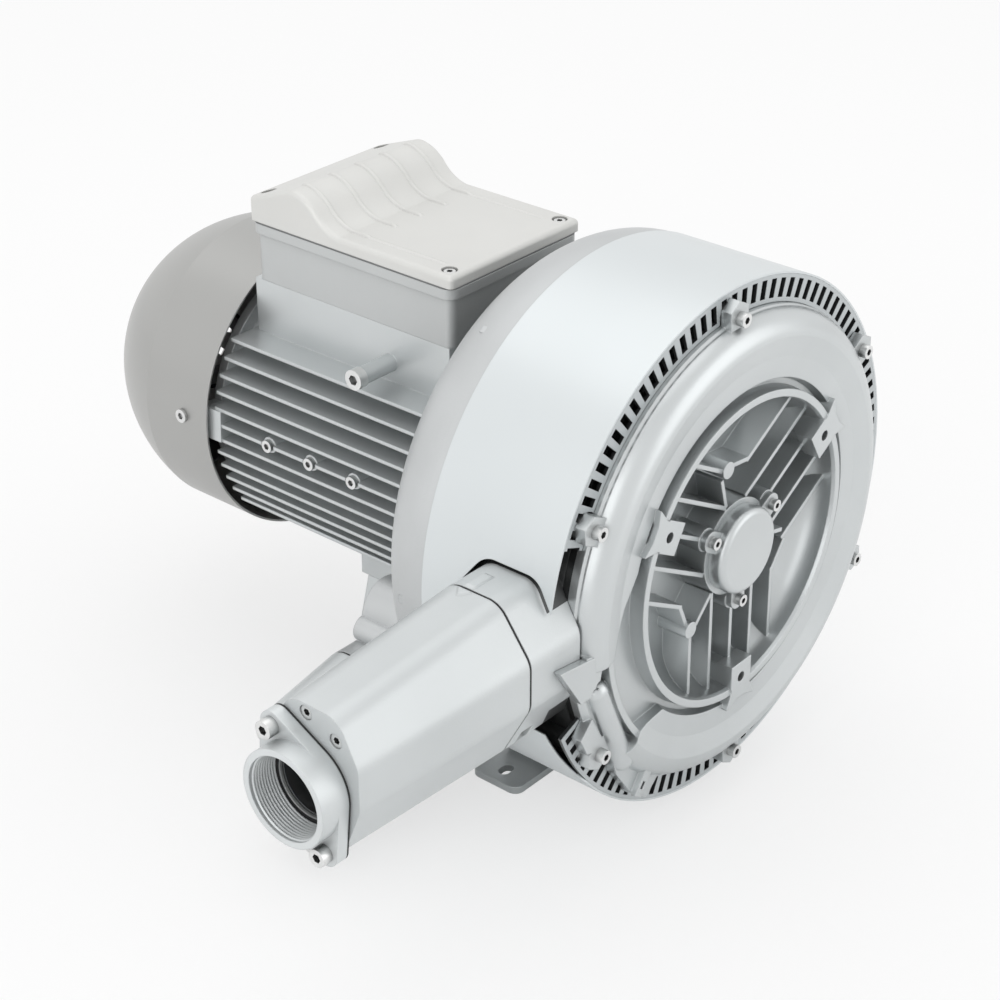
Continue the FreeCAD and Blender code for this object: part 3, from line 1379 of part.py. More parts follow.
def feet():
    low, top = "-shaft_height", "-shaft_height+foot_thick"
    start, stop = "front_foot_start", "front_foot_stop"
    plate = rounded(padded("front_foot_plate", [
        ("-foot_half", start), ("foot_half", start), ("foot_half", stop), ("-foot_half", stop)],
        (low, top), "Z"), "foot_rib", runs_along("z"))
    riser = box("front_foot_riser", ("-front_pad_half+2", "front_pad_half-2"),
                ("front_pad_start", "front_foot_stop-4"), (top, FRONT_PAD_LOW))
    tools = foot_slots("front_foot", f"(({start})+({stop}))/2")
    for number, (x, y) in enumerate(FRONT_FOOT_SCREWS):
        tools.append(rod(f"front_foot_hole_{number}", "bolt_radius+seat_gap",
                         (x, y, "-shaft_height-1"), "front_pad_height+2", "Z"))
        tools.append(rod(f"front_foot_sink_{number}", "bolt_head+seat_gap",
                         (x, y, "-shaft_height-1"), "bolt_head_height+1.5", "Z"))
    finish("front_foot", cut("front_foot", joined("front_foot_body", [plate, riser]), tools))
    start, stop = "rear_foot_start", "rear_foot_stop"
    plate = rounded(padded("rear_foot_plate", [
        ("-foot_half", start), ("foot_half", start), ("foot_half", stop), ("-foot_half", stop)],
        (low, top), "Z"), "foot_rib", runs_along("z"))
    half, wall = "frame_foot_half", "foot_rib"
    upright = padded("rear_foot_upright", [
        (f"-{half}", "frame_foot_low"), (f"-{half}-25", low), (f"{half}+25", low),
        (half, "frame_foot_low")], (start, stop), "Y")
    inside = padded("rear_foot_opening", [
        (f"-{half}+{wall}", f"frame_foot_low-{wall}"), (f"-{half}-25+{wall}", top),
        (f"{half}+25-{wall}", top), (f"{half}-{wall}", f"frame_foot_low-{wall}")],
        (f"{start}-1", f"{stop}+1"), "Y")
    tools = [inside] + foot_slots("rear_foot", f"(({start})+({stop}))/2")
    for number, (x, y) in enumerate(REAR_FOOT_SCREWS):
        tools.append(rod(f"rear_foot_hole_{number}", "bolt_radius+seat_gap",
                         (x, y, f"frame_foot_low-{wall}-1"), f"{wall}+2", "Z"))
    finish("rear_foot", cut("rear_foot", joined("rear_foot_body", [plate, upright]), tools))
    screw = socket_screw("foot_screw", "bolt_radius", "20", "bolt_head", "bolt_head_height")
    upward = V(0, 0, 1)
    group = [placed(screw, x, y, "-shaft_height+bolt_head_height+0.5", upward)
             for x, y in FRONT_FOOT_SCREWS]
    group += [placed(screw, x, y, "frame_foot_low-foot_rib", upward)
              for x, y in REAR_FOOT_SCREWS]
    gathered("foot_screws", group)


SIDE_SCREWS = [(f"side_screw_place+{step}*side_screw_pitch", "side_screw_turn")
               for step in (-1, 0, 1)]
EARTH_PLACE = ("earth_x", "earth_y", "earth_z")


def motor():
    start, stop = MOTOR_FACE, FRAME_END
    barrel = drum("barrel", "frame_radius", (start, stop))
    flange = drum("frame_flange_disc", "frame_flange", (start, f"{start}+frame_flange_thick"))
    solids = [barrel, flange]
    for row in range(int(size("fin_rows"))):
        height = f"(fin_pitch*({row}-(fin_rows-1)/2))"
        reach = f"sqrt(fin_tip*fin_tip-{height}*{height})"
        solids.append(box(f"fin_{row}", (f"-{reach}", reach),
                          (f"{start}+fin_start", f"{stop}-fin_stop"),
                          (f"{height}-fin_thick/2", f"{height}+fin_thick/2")))
    solids.append(box("saddle", ("-saddle_half", "saddle_half"), ("box_front+2", "box_rear+3"),
                      ("saddle_low", "box_low")))
    solids.append(box("frame_foot_block", ("-frame_foot_half", "frame_foot_half"),
                      ("frame_foot_start", "frame_foot_stop"),
                      ("frame_foot_low", "-frame_bore+2")))
    for number in range(4):
        angle = f"ear_turn+{90 * number}"
        if number % 2 == 0:
            solids.append(spoke(f"frame_ear_{number}", angle, ("frame_radius-3", "fin_tip+1"),
                                (f"{stop}-16", stop), ("-13", "13")))
        else:
            solids.append(spoke(f"frame_ear_{number}", angle,
                                ("frame_radius-3", "shield_ear_circle+shield_ear-1"),
                                (f"{stop}-16", stop), ("-10", "10")))
    for number, (y, z) in enumerate(SIDE_SCREWS):
        solids.append(rod(f"side_boss_{number}", "side_boss", ("-fin_tip+3", y, z),
                          "fin_tip-frame_radius", "X"))
    solids.append(rod("earth_boss", "earth_boss", EARTH_PLACE, "34", "X"))
    bore = drum("frame_bore_room", "frame_bore", (f"{start}-1", f"{stop}+1"))
    wires = box("saddle_room", ("-saddle_half+12", "saddle_half-12"),
                ("box_front+16", "box_rear-14"), ("frame_radius-2", "box_low+1"))
    drop = rod("wire_hole", "14", ("0", "box_front+60", "frame_bore-6"), "40", "Z")
    tools = [bore, wires, drop]
    tools += bolt_holes("motor_bolt_hole", MOTOR_BOLTS, "bolt_radius+seat_gap",
                        (f"{start}-1", f"{start}+frame_flange_thick+1"))
    tools += bolt_holes("shield_thread", SHIELD_SCREWS, "shield_screw+seat_gap",
                        (f"{stop}-15", f"{stop}+1"))
    for number, (y, z) in enumerate(SIDE_SCREWS):
        tools.append(rod(f"side_thread_{number}", "side_screw+seat_gap",
                         ("-fin_tip+2", y, z), "16", "X"))
        tools.append(rod(f"side_spot_{number}", "side_boss", ("-fin_tip-3", y, z), "6", "X"))
    tools.append(rod("earth_thread", "earth_screw+seat_gap", EARTH_PLACE, "22", "X"))
    for number, (x, y) in enumerate(REAR_FOOT_SCREWS):
        tools.append(rod(f"frame_foot_thread_{number}", "bolt_radius+seat_gap",
                         (x, y, "frame_foot_low-1"), "15", "Z"))
    for number, (x, y) in enumerate(BOX_SCREWS):
        tools.append(rod(f"saddle_thread_{number}", "lid_screw+seat_gap",
                         (x, y, "box_low-14"), "15", "Z"))
    finish("motor_frame", cut("motor_frame", joined("frame_casting", solids), tools))
    screw = socket_screw("motor_bolt", "bolt_radius", "frame_flange_thick+13", "bolt_head",
                         "bolt_head_height")
    face = f"{start}+frame_flange_thick"
    gathered("motor_bolts", [placed(screw, x, face, z, V(0, -1, 0)) for x, z in MOTOR_BOLTS])
    side = socket_screw("side_screw", "side_screw", "12", "side_screw_head", "4")
    gathered("side_screws", [placed(side, "-fin_tip+3", y, z, V(1, 0, 0))
                             for y, z in SIDE_SCREWS])
    lug = socket_screw("earth_screw_master", "earth_screw", "20", "earth_screw*2",
                       "earth_screw*2")
    gathered("earth_screw", [placed(lug, *EARTH_PLACE, V(1, 0, 0))])
    core = tube("stator_stack", "frame_bore-seat_gap/2", "stator_bore",
                ("stator_start", "stator_start+stator_length"))
    finish("stator_core", core)
    rings = []
    for number, (low, high) in enumerate((
            ("stator_start-winding_length", "stator_start"),
            ("stator_start+stator_length", "stator_start+stator_length+winding_length"))):
        ring = tube(f"winding_{number}", "frame_bore-8", "stator_bore+3", (low, high))
        doc.recompute()
        rings.append(ring.Shape.copy())
    gathered("stator_winding", rings)


def rear_end():
    start = FRAME_END
    stop = f"({start}+shield_thick)"
    seat = f"({start}-4)"
    disc = turned("shield_disc", [
        ("shield_radius", start),
        ("shield_radius", stop),
        ("bearing_outer+8", stop),
        ("bearing_outer+6", f"{seat}+bearing_width"),
        ("bearing_outer+seat_gap/2", f"{seat}+bearing_width"),
        ("bearing_outer+seat_gap/2", seat),
        ("shoulder_radius+3", seat),
        ("shoulder_radius+3", f"{seat}-4"),
        ("bearing_outer+6", f"{seat}-4"),
        ("bearing_outer+8", start),
        ("frame_bore-6", start),
        ("frame_bore-6", f"{start}-5"),
        ("frame_bore-seat_gap/2", f"{start}-5"),
        ("frame_bore-seat_gap/2", start),
    ])
    solids = [disc]
    inside = "cowl_radius-cowl_sheet-seat_gap*2"
    for number in range(4):
        angle = f"ear_turn+{90 * number}"
        solids.append(spoke(f"shield_ear_{number}", angle, ("shield_radius-6", inside),
                            (start, stop), ("-12", "12")))
        solids.append(spoke(f"cowl_tab_{number}", angle, (f"{inside}-6", inside),
                            (start, "cowl_screw_place+7"), ("-7", "7")))
    rim = tube("shield_rim_room", "cowl_radius+30", inside, (f"{start}-1", "cowl_screw_place+8"))
    tools = [rim]
    tools += bolt_holes("shield_hole", SHIELD_SCREWS, "shield_screw+seat_gap",
                        (f"{start}-1", f"{stop}+1"))
    holes = []
    for number in range(4):
        angle = f"ear_turn+{90 * number}"
        holes.append(radial_rod(f"tab_hole_{number}", "cowl_screw+seat_gap", angle,
                                "cowl_radius-12", "20"))
    finish("rear_end_shield", cut("rear_end_shield", joined("shield_casting", solids),
                                  tools + holes))
    screw = socket_screw("shield_screw_master", "shield_screw", "shield_thick+12", "5", "6")
    gathered("shield_screws", [placed(screw, x, stop, z, V(0, -1, 0))
                               for x, z in SHIELD_SCREWS])
    shell = turned("cowl_shell", [
        ("cowl_radius", "cowl_front"),
        ("cowl_radius", "cowl_crease", "cowl_round"),
        ("cowl_end_radius", "cowl_rear"),
        ("0", "cowl_rear"),
        ("0", "cowl_rear-cowl_sheet"),
        ("cowl_end_radius-0.6", "cowl_rear-cowl_sheet", "-cowl_round+cowl_sheet"),
        ("cowl_radius-cowl_sheet", "cowl_crease-0.4"),
        ("cowl_radius-cowl_sheet", "cowl_front"),
    ])
    holes = [radial_rod(f"cowl_hole_{number}", "cowl_screw+seat_gap", f"ear_turn+{90 * number}",
                        "cowl_radius-8", "16") for number in range(4)]
    for number in range(16):
        holes.append(spoke(f"grille_slot_{number}", f"{22.5 * number}",
                           ("fan_seat+8", "cowl_end_radius-7"),
                           ("cowl_rear-cowl_sheet-1", "cowl_rear+1"), ("-3", "3")))
    finish("fan_cowl", cut("fan_cowl", shell, holes))
    screw = socket_screw("cowl_screw_master", "cowl_screw", "9", "5.5", "3")
    group = []
    for number in range(4):
        angle = size(f"ear_turn+{90 * number}")
        x, z = around("cowl_radius", f"{angle}")
        inward = V(-math.sin(math.radians(angle)), 0, -math.cos(math.radians(angle)))
        group.append(placed(screw, x, "cowl_screw_place", z, inward))
    gathered("cowl_screws", group)


def radial_rod(name, radius, angle, start, length):
    item = doc.addObject("Part::Cylinder", name)
    tie(item, "Radius", radius)
    tie(item, "Height", length)
    turn = turned_about_shaft(size(angle))
    corner = V(0, size("cowl_screw_place"), size(start))
    item.Placement = FreeCAD.Placement(turn.multVec(corner), turn)
    return item


LID_SCREWS = [(x, y) for x in ("-box_half+lid_screw_inset", "box_half-lid_screw_inset")
              for y in ("box_front+lid_screw_inset", "box_rear-lid_screw_inset")]
BOX_SCREWS = [(x, y) for x in ("-box_half+20", "box_half-20")
              for y in ("box_front+10", "box_rear-10")]


def upright_box(name, grow, z):
    """A rectangular pad on the terminal box outline, grown outward by a rule."""
    return padded(name, [
        (f"-box_half-({grow})", f"box_front-({grow})"),
        (f"box_half+{grow}", f"box_front-({grow})"),
        (f"box_half+{grow}", f"box_rear+{grow}"),
        (f"-box_half-({grow})", f"box_rear+{grow}")], z, "Z")


def terminal_box():
    walls = rounded(upright_box("box_walls", "0", ("box_low", "box_high")), "box_round",
                    runs_along("z"))
    brim = rounded(upright_box("box_brim", "box_flange", ("box_high-box_flange_height",
                                                          "box_high")),
                   "box_round+box_flange", runs_along("z"))
    room = upright_box("box_room", "-box_wall", ("box_low+box_wall", "box_high+1"))
    shell = cut("box_shell", joined("box_block", [walls, brim]), [room])
    posts = []
    holes = [rod("box_wire_hole", "12", ("0", "box_front+60", "box_low-1"), "box_wall+2", "Z")]
    for number, (x, y) in enumerate(LID_SCREWS):
        posts.append(rod(f"box_post_{number}", "6", (x, y, "box_low+1"),
                         "box_high-box_low-1", "Z"))
        holes.append(rod(f"box_post_hole_{number}", "lid_screw+seat_gap", (x, y, "box_high-14"),
                         "15", "Z"))
    for number, (x, y) in enumerate(BOX_SCREWS):
        holes.append(rod(f"box_screw_hole_{number}", "lid_screw+seat_gap", (x, y, "box_low-1"),
                         "box_wall+2", "Z"))
    for number, y in enumerate(("box_front+50", "box_front+100")):
        holes.append(rod(f"entry_hole_{number}", "12+seat_gap", ("box_half-box_wall-1", y,
                                                                 "(box_low+box_high)/2-4"),
                         "box_wall+2", "X"))
    finish("terminal_box", cut("terminal_box", joined("box_body", [shell] + posts), holes))
    gasket = rounded(upright_box("lid_gasket_sheet", "box_flange-0.5",
                                 ("box_high", "box_high+lid_gasket_thick")),
                     "box_round+box_flange", runs_along("z"))
    opening = upright_box("lid_gasket_room", "-box_wall-10",
                          ("box_high-1", "box_high+lid_gasket_thick+1"))
    holes = [opening]
    for number, (x, y) in enumerate(LID_SCREWS):
        holes.append(rod(f"lid_gasket_hole_{number}", "lid_screw+seat_gap",
                         (x, y, "box_high-1"), "lid_gasket_thick+2", "Z"))
    finish("lid_gasket", cut("lid_gasket", gasket, holes))
    lid()
    inside_screw = socket_screw("box_screw", "lid_screw", "box_wall+10", "4.5", "5")
    gathered("box_screws", [placed(inside_screw, x, y, "box_low+box_wall", V(0, 0, -1))
                            for x, y in BOX_SCREWS])
    block = box("terminal_block_body", ("-30", "30"), ("box_front+90", "box_front+150"),
                ("box_low+box_wall", "box_low+box_wall+16"))
    studs, stud_holes = [], []
    for number in range(6):
        x, y = f"{-20 + 20 * (number % 3)}", f"box_front+{105 + 30 * (number // 3)}"
        stud_holes.append(rod(f"stud_hole_{number}", "2.5+running_gap",
                              (x, y, "box_low+box_wall+8"), "9", "Z"))
        stud = rod(f"stud_{number}", "2.5", (x, y, "box_low+box_wall+8"), "20", "Z")
        nut = doc.addObject("Part::Prism", f"stud_nut_{number}")
        nut.Polygon = 6
        tie(nut, "Circumradius", "4.6")
        tie(nut, "Height", "4")
        for axis, rule in zip("xyz", (x, y, "box_low+box_wall+16")):
            tie(nut, f"Placement.Base.{axis}", rule)
        both = joined(f"stud_and_nut_{number}", [stud, nut])
        doc.recompute()
        studs.append(both.Shape.copy())
    finish("terminal_block", cut("terminal_block", block, stud_holes))
    gathered("terminal_studs", studs)
    plugs = []
    for number, y in enumerate(("box_front+50", "box_front+100")):
        z = "(box_low+box_high)/2-4"
        head = doc.addObject("Part::Prism", f"entry_head_{number}")
        head.Polygon = 6
        head.Placement = FreeCAD.Placement(V(), DIRECTIONS["X"])
        tie(head, "Circumradius", "15")
        tie(head, "Height", "8")
        for axis, rule in zip("xyz", ("box_half", y, z)):
            tie(head, f"Placement.Base.{axis}", rule)
        stem = rod(f"entry_stem_{number}", "12", ("box_half-box_wall-4", y, z),
                   "box_wall+5", "X")
        pieces = [head, stem]
        if number == 0:
            pieces.append(rod("gland_dome", "12", ("box_half+7", y, z), "12", "X"))
        plug = joined(f"entry_plug_{number}", pieces)
        if number == 0:
            plug = cut("gland_body", plug, [rod("gland_bore", "cable_bore",
                                                ("box_half-box_wall-5", y, z), "40", "X")])
        doc.recompute()
        plugs.append(plug.Shape.copy())
    gathered("cable_gland_and_plug", plugs)


def lid_profile(low, drop):
    """The side view of the lid in (y, z), with the rise toward the fan end."""
    middle = "((lid_foot_place+lid_crest_place)/2+9)"
    rise = "(lid_crest-lid_flat)"
    bend = 35.4
    return [
        (f"box_front-box_flange+{drop}", low),
        (f"box_rear+box_flange-({drop})", low),
        (f"box_rear+box_flange-({drop})", f"lid_rear-({drop})"),
        ("lid_crest_place+7", f"lid_crest-0.4-({drop})"),
        ("lid_crest_place+3", f"lid_crest-({drop})", f"{bend}-({drop})"),
        (f"{middle}", f"lid_flat+{rise}/2-({drop})", f"-{bend}-({drop})"),
        ("lid_foot_place+16", f"lid_flat-({drop})"),
        (f"box_front-box_flange+{drop}", f"lid_flat-({drop})"),
    ]


def lid():
    low = "(box_high+lid_gasket_thick)"
    half = "(box_half+box_flange)"
    outer = padded("lid_outer", lid_profile(low, "0"), (f"-{half}", half), "X")
    inner = padded("lid_inner", lid_profile(f"{low}-1", "lid_wall"),
                   (f"-{half}+lid_wall", f"{half}-lid_wall"), "X")
    outer = rounded(outer, "4", lambda edge: edge.BoundBox.ZMax > size("box_high") + 4)
    shell = cut("lid_shell", outer, [inner])
    posts, holes = [], []
    for number, (x, y) in enumerate(LID_SCREWS):
        posts.append(rod(f"lid_post_{number}", "9.5", (x, y, low), f"lid_flat-2-{low}", "Z"))
        holes.append(rod(f"lid_hole_{number}", "lid_screw+seat_gap", (x, y, f"{low}-1"),
                         f"lid_crest-{low}", "Z"))
        holes.append(rod(f"lid_sink_{number}", "6", (x, y, "lid_flat-5"), "20", "Z"))
    posts = shared("lid_posts_inside", [outer, joined("lid_posts", posts)])
    ridges = []
    for row in (-2, -1, 0, 1, 2):
        middle = f"{row}*lid_ridge_pitch"
        ridge = padded(f"lid_ridge_{row + 2}", lid_profile(low, "-lid_ridge"),
                       (f"{middle}-lid_ridge", f"{middle}+lid_ridge"), "X")
        ridges.append(ridge)
    slope = box("lid_slope_room", (f"-{half}", half), ("lid_foot_place+2", "lid_crest_place+5"),
                ("lid_flat-lid_wall+1", "lid_crest+5"))
    ridges = shared("lid_ridges", [joined("lid_ridge_rows", ridges), slope])
    ridges = cut("lid_ridges_above", ridges, [inner])
    finish("terminal_lid", cut("terminal_lid", joined("lid_body", [shell, posts, ridges]),
                               holes))
    screw = socket_screw("lid_screw_master", "lid_screw", "20", "4.5", "4")
    gathered("lid_screws", [placed(screw, x, y, "lid_flat-5", V(0, 0, -1))
                            for x, y in LID_SCREWS])


def check_and_write():
    """Stop on any failed object, then write one file for each sub-part."""
    failed = [item.Name for item in doc.Objects
              if "Invalid" in item.State or "Error" in item.State]
    if failed:
        raise RuntimeError(f"these objects failed: {failed}")
    os.makedirs("parts", exist_ok=True)
    for item in finished:
        shape = item.Shape
        if shape.isNull() or not shape.isValid() or not shape.Solids:
            raise RuntimeError(f"{item.Label} has no valid shape")
        shape.exportStep(f"parts/{item.Label}.step")
        bounds = shape.BoundBox
        print(f"{item.Label}: {len(shape.Solids)} solids, {shape.Volume / 1000:.1f} cm3,",
              f"y {bounds.YMin:.1f} to {bounds.YMax:.1f}")


front_cover()
intermediate_casing()
rear_casing()
band()
guard_ring()
cover_bolts()
hub_cap()
bearings_and_seals()
rotor()
silencers()
feet()
motor()
rear_end()
terminal_box()
doc.recompute()
check_and_write()
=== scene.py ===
"""Looks of a side channel blower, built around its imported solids."""

import json
import math

import bmesh
import bpy
from mathutils import Matrix, Vector
from mathutils.bvhtree import BVHTree


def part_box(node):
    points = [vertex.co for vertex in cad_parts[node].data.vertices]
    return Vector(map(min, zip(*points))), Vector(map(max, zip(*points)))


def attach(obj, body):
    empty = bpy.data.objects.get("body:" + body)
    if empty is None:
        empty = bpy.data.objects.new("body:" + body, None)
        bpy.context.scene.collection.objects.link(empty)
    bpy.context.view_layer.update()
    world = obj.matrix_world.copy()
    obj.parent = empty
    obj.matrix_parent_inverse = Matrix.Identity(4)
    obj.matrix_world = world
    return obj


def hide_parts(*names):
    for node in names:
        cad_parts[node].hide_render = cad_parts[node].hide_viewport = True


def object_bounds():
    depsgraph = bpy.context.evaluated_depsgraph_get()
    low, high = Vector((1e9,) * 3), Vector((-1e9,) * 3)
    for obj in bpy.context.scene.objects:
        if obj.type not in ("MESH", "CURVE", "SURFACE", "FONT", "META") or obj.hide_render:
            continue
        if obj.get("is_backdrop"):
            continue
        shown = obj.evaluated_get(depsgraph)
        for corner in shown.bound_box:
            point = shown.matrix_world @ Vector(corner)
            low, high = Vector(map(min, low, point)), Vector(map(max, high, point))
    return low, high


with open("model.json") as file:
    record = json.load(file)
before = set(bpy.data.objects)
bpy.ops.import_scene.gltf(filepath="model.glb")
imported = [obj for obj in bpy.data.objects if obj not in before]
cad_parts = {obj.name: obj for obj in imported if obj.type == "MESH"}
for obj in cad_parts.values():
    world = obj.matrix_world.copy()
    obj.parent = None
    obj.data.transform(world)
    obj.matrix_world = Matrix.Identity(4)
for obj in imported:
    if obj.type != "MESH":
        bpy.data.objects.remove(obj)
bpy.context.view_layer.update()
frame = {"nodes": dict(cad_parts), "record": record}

bl_info = {
    "name": "Side channel blower",
    "version": (1, 0, 0),
    "blender": (4, 5, 0),
    "location": "3D View > Sidebar > Blower",
    "description": "Finishes, port threads and studio for a side channel blower",
    "category": "Object",
}

HOUSING = "housing"
# Inner radius of the hollow between the round band and the casings.
HOLLOW_INNER = 0.165
# Thickness of the band's sheet, and the end of its hollow before the band's rear edge.
BAND_WALL = 0.0008
HOLLOW_END = 0.0005
# How far behind the band's front edge the painted shade in the hollow starts, for most pieces and
# for the slotted guard ring, whose slot walls get the painted shade too.
HOLLOW_START = 0.0035
GUARD_HOLLOW_START = 0.0004
# Share of a paint's tone that is left in the hollow, where shade is painted into the colour.
PAINTED_SHADE_TONE = 0.12
# How deep the foot of a raised piece lies in the casting that carries it, and how thick
# the piece is under its top.
SUNK = 0.0001
RAISED_DEPTH = 0.001
# Height from which surfaces are searched, well over the machine.
SEARCH_HEIGHT = 1.0
# Distances over which shade is painted into corners: on a casting, on the terminal box, in a
# screw.
CASTING_REACH = 0.03
BOX_REACH = 0.08
SCREW_REACH = 0.006
# Gap between the flow arrow's outline and the gasket in the joint.
ARROW_GAP = 0.0004
# Wall of the mouth tube, and the gap between the tube and the foam behind it.
TUBE_WALL = 0.0006
TUBE_GAP = 0.0003
# Half a thread's foot as a share of its pitch, and how deep its root lies in the bore.
THREAD_HALF = 0.47
THREAD_SUNK = 0.0002
# How far under the feet the floor lies.
FLOOR_GAP = 0.0005
# Width of the camera's sensor in millimetres.
SENSOR_WIDTH = 36


class BlowerFinish(bpy.types.PropertyGroup):
    """Colours and surface values of the blower's finishes."""

    silver: bpy.props.FloatVectorProperty(
        name="Silver paint", description="Colour of the painted castings",
        subtype="COLOR", size=3, min=0, max=1, default=(0.62, 0.645, 0.65))
    silver_shade: bpy.props.FloatVectorProperty(
        name="Silver paint shade", description="Darker tone of the painted castings",
        subtype="COLOR", size=3, min=0, max=1, default=(0.57, 0.595, 0.60))
    band: bpy.props.FloatVectorProperty(
        name="Band paint", description="Colour of the round band",
        subtype="COLOR", size=3, min=0, max=1, default=(0.68, 0.715, 0.725))
    box: bpy.props.FloatVectorProperty(
        name="Terminal box paint", description="Colour of the terminal box",
        subtype="COLOR", size=3, min=0, max=1, default=(0.56, 0.575, 0.575))
    lid: bpy.props.FloatVectorProperty(
        name="Lid paint", description="Colour of the terminal box lid",
        subtype="COLOR", size=3, min=0, max=1, default=(0.69, 0.69, 0.67))
    guard: bpy.props.FloatVectorProperty(
        name="Guard ring paint", description="Colour of the slotted guard ring",
        subtype="COLOR", size=3, min=0, max=1, default=(0.50, 0.53, 0.54))
    cast: bpy.props.FloatVectorProperty(
        name="Bare casting", description="Colour of the casing behind the band",
        subtype="COLOR", size=3, min=0, max=1, default=(0.58, 0.595, 0.60))
    cowl: bpy.props.FloatVectorProperty(
        name="Cowl paint", description="Colour of the fan cowl",
        subtype="COLOR", size=3, min=0, max=1, default=(0.43, 0.43, 0.42))
    metallic: bpy.props.FloatProperty(
        name="Metallic", description="How much the silver paint shines like metal",
        subtype="FACTOR", min=0, max=1, default=0.75)
    zinc: bpy.props.FloatVectorProperty(
        name="Zinc plate", description="Colour of the screws",
        subtype="COLOR", size=3, min=0, max=1, default=(0.78, 0.785, 0.78))
    paint_roughness: bpy.props.FloatProperty(
        name="Paint roughness", description="Roughness of the silver paint",
        subtype="FACTOR", min=0, max=1, default=0.35)
    grain: bpy.props.FloatProperty(
        name="Casting grain", description="Height of the grain of the castings",
        subtype="FACTOR", min=0, max=1, default=0.12)
    # Painted shade: how much the colour darkens in corners and recesses.
    corner_shade: bpy.props.FloatProperty(
        name="Painted corner shade", description="How much darker the paint is in deep corners",
        subtype="FACTOR", min=0, max=1, default=0.3)
    edge_round: bpy.props.FloatProperty(
        name="Edge round", description="Radius that the cast edges appear to have",
        subtype="DISTANCE", unit="LENGTH", min=0, max=0.01, default=0.0012)


class PortThread(bpy.types.PropertyGroup):
    """Sizes of the pipe thread in each port."""

    crest_radius: bpy.props.FloatProperty(
        name="Crest radius", description="Radius of the thread's crests",
        subtype="DISTANCE", unit="LENGTH", min=0.01, max=0.1, default=0.0286)
    pitch: bpy.props.FloatProperty(
        name="Pitch", description="Distance from one turn to the next",
        subtype="DISTANCE", unit="LENGTH", min=0.0005, max=0.01, default=0.002309)
    steps: bpy.props.IntProperty(
        name="Steps a turn", description="Straight steps in one turn of the thread",
        min=12, max=128, default=48)


class LidRidge(bpy.types.PropertyGroup):
    """Sizes of the soft ridges on the lid."""

    pitch: bpy.props.FloatProperty(
        name="Pitch", description="Distance between two ridges",
        subtype="DISTANCE", unit="LENGTH", min=0.01, max=0.05, default=0.028)
    width: bpy.props.FloatProperty(
        name="Width", description="Width of a ridge at its foot",
        subtype="DISTANCE", unit="LENGTH", min=0.001, max=0.01, default=0.0045)
    height: bpy.props.FloatProperty(
        name="Height", description="Height of a ridge on the slope",
        subtype="DISTANCE", unit="LENGTH", min=0.0005, max=0.004, default=0.0018)
    tail_height: bpy.props.FloatProperty(
        name="Tail height", description="Height of the outer ridges on the flat part",
        subtype="DISTANCE", unit="LENGTH", min=0.0002, max=0.004, default=0.0008)
    top: bpy.props.FloatProperty(
        name="Top", description="Where the ridges end near the crest, from the lid's front edge",
        subtype="DISTANCE", unit="LENGTH", min=0, max=0.3, default=0.1635)
    foot: bpy.props.FloatProperty(
        name="Foot", description="Where the ridges end on the flat part",
        subtype="DISTANCE", unit="LENGTH", min=0, max=0.3, default=0.0925)
    tail: bpy.props.FloatProperty(
        name="Tail", description="Where the outer ridges end near the front edge",
        subtype="DISTANCE", unit="LENGTH", min=0, max=0.3, default=0.019)


class FlowArrow(bpy.types.PropertyGroup):
    """Sizes of the arrow on the discharge neck."""

    middle: bpy.props.FloatProperty(
        name="Middle", description="Place of the arrow along the shaft",
        subtype="DISTANCE", unit="LENGTH", default=-0.1615)
    head: bpy.props.FloatProperty(
        name="Head", description="Length of the arrow's head",
        subtype="DISTANCE", unit="LENGTH", min=0.002, max=0.05, default=0.011)
    spread: bpy.props.FloatProperty(
        name="Spread", description="Half the width of the arrow's head",
        subtype="DISTANCE", unit="LENGTH", min=0.002, max=0.02, default=0.0078)
    shaft: bpy.props.FloatProperty(
        name="Shaft", description="Length of the arrow's shaft",
        subtype="DISTANCE", unit="LENGTH", min=0.002, max=0.05, default=0.022)
    shaft_half: bpy.props.FloatProperty(
        name="Shaft half", description="Half the width of the arrow's shaft",
        subtype="DISTANCE", unit="LENGTH", min=0.001, max=0.02, default=0.0045)
    height: bpy.props.FloatProperty(
        name="Height", description="Height of the arrow over the casting",
        subtype="DISTANCE", unit="LENGTH", min=0.0002, max=0.003, default=0.0013)


class PortCollar(bpy.types.PropertyGroup):
    """Sizes of the ring behind each port thread, and of the black ring around it that is painted
    shade for the gap there.
    """

    colour: bpy.props.FloatVectorProperty(
        name="Collar", description="Colour of the collar's bright edge",
        subtype="COLOR", size=3, min=0, max=1, default=(0.66, 0.67, 0.67))
    tube_colour: bpy.props.FloatVectorProperty(
        name="Tube", description="Colour of the smooth tube in the silencer's mouth",
        subtype="COLOR", size=3, min=0, max=1, default=(0.20, 0.205, 0.21))
    tube: bpy.props.FloatProperty(
        name="Tube length", description="Length of the smooth tube in the silencer's mouth",
        subtype="DISTANCE", unit="LENGTH", min=0.01, max=0.1, default=0.045)
    foam_inner: bpy.props.FloatProperty(
        name="Foam inner radius", description="Radius of the hole through the foam",
        subtype="DISTANCE", unit="LENGTH", min=0.01, max=0.05, default=0.018)
    inner: bpy.props.FloatProperty(
        name="Inner radius", description="Radius of the collar's hole",
        subtype="DISTANCE", unit="LENGTH", min=0.01, max=0.05, default=0.0245)
    outer: bpy.props.FloatProperty(
        name="Outer radius", description="Radius of the collar's rim",
        subtype="DISTANCE", unit="LENGTH", min=0.01, max=0.05, default=0.0262)
    # The black ring is painted shade for the dark gap around the collar.
    shade_ring_inner: bpy.props.FloatProperty(
        name="Shade ring inner radius", description="Radius of the hole in the black shade ring",
        subtype="DISTANCE", unit="LENGTH", min=0.01, max=0.05, default=0.0264)
    shade_ring_outer: bpy.props.FloatProperty(
        name="Shade ring outer radius", description="Radius of the black shade ring's rim",
        subtype="DISTANCE", unit="LENGTH", min=0.01, max=0.05, default=0.0296)


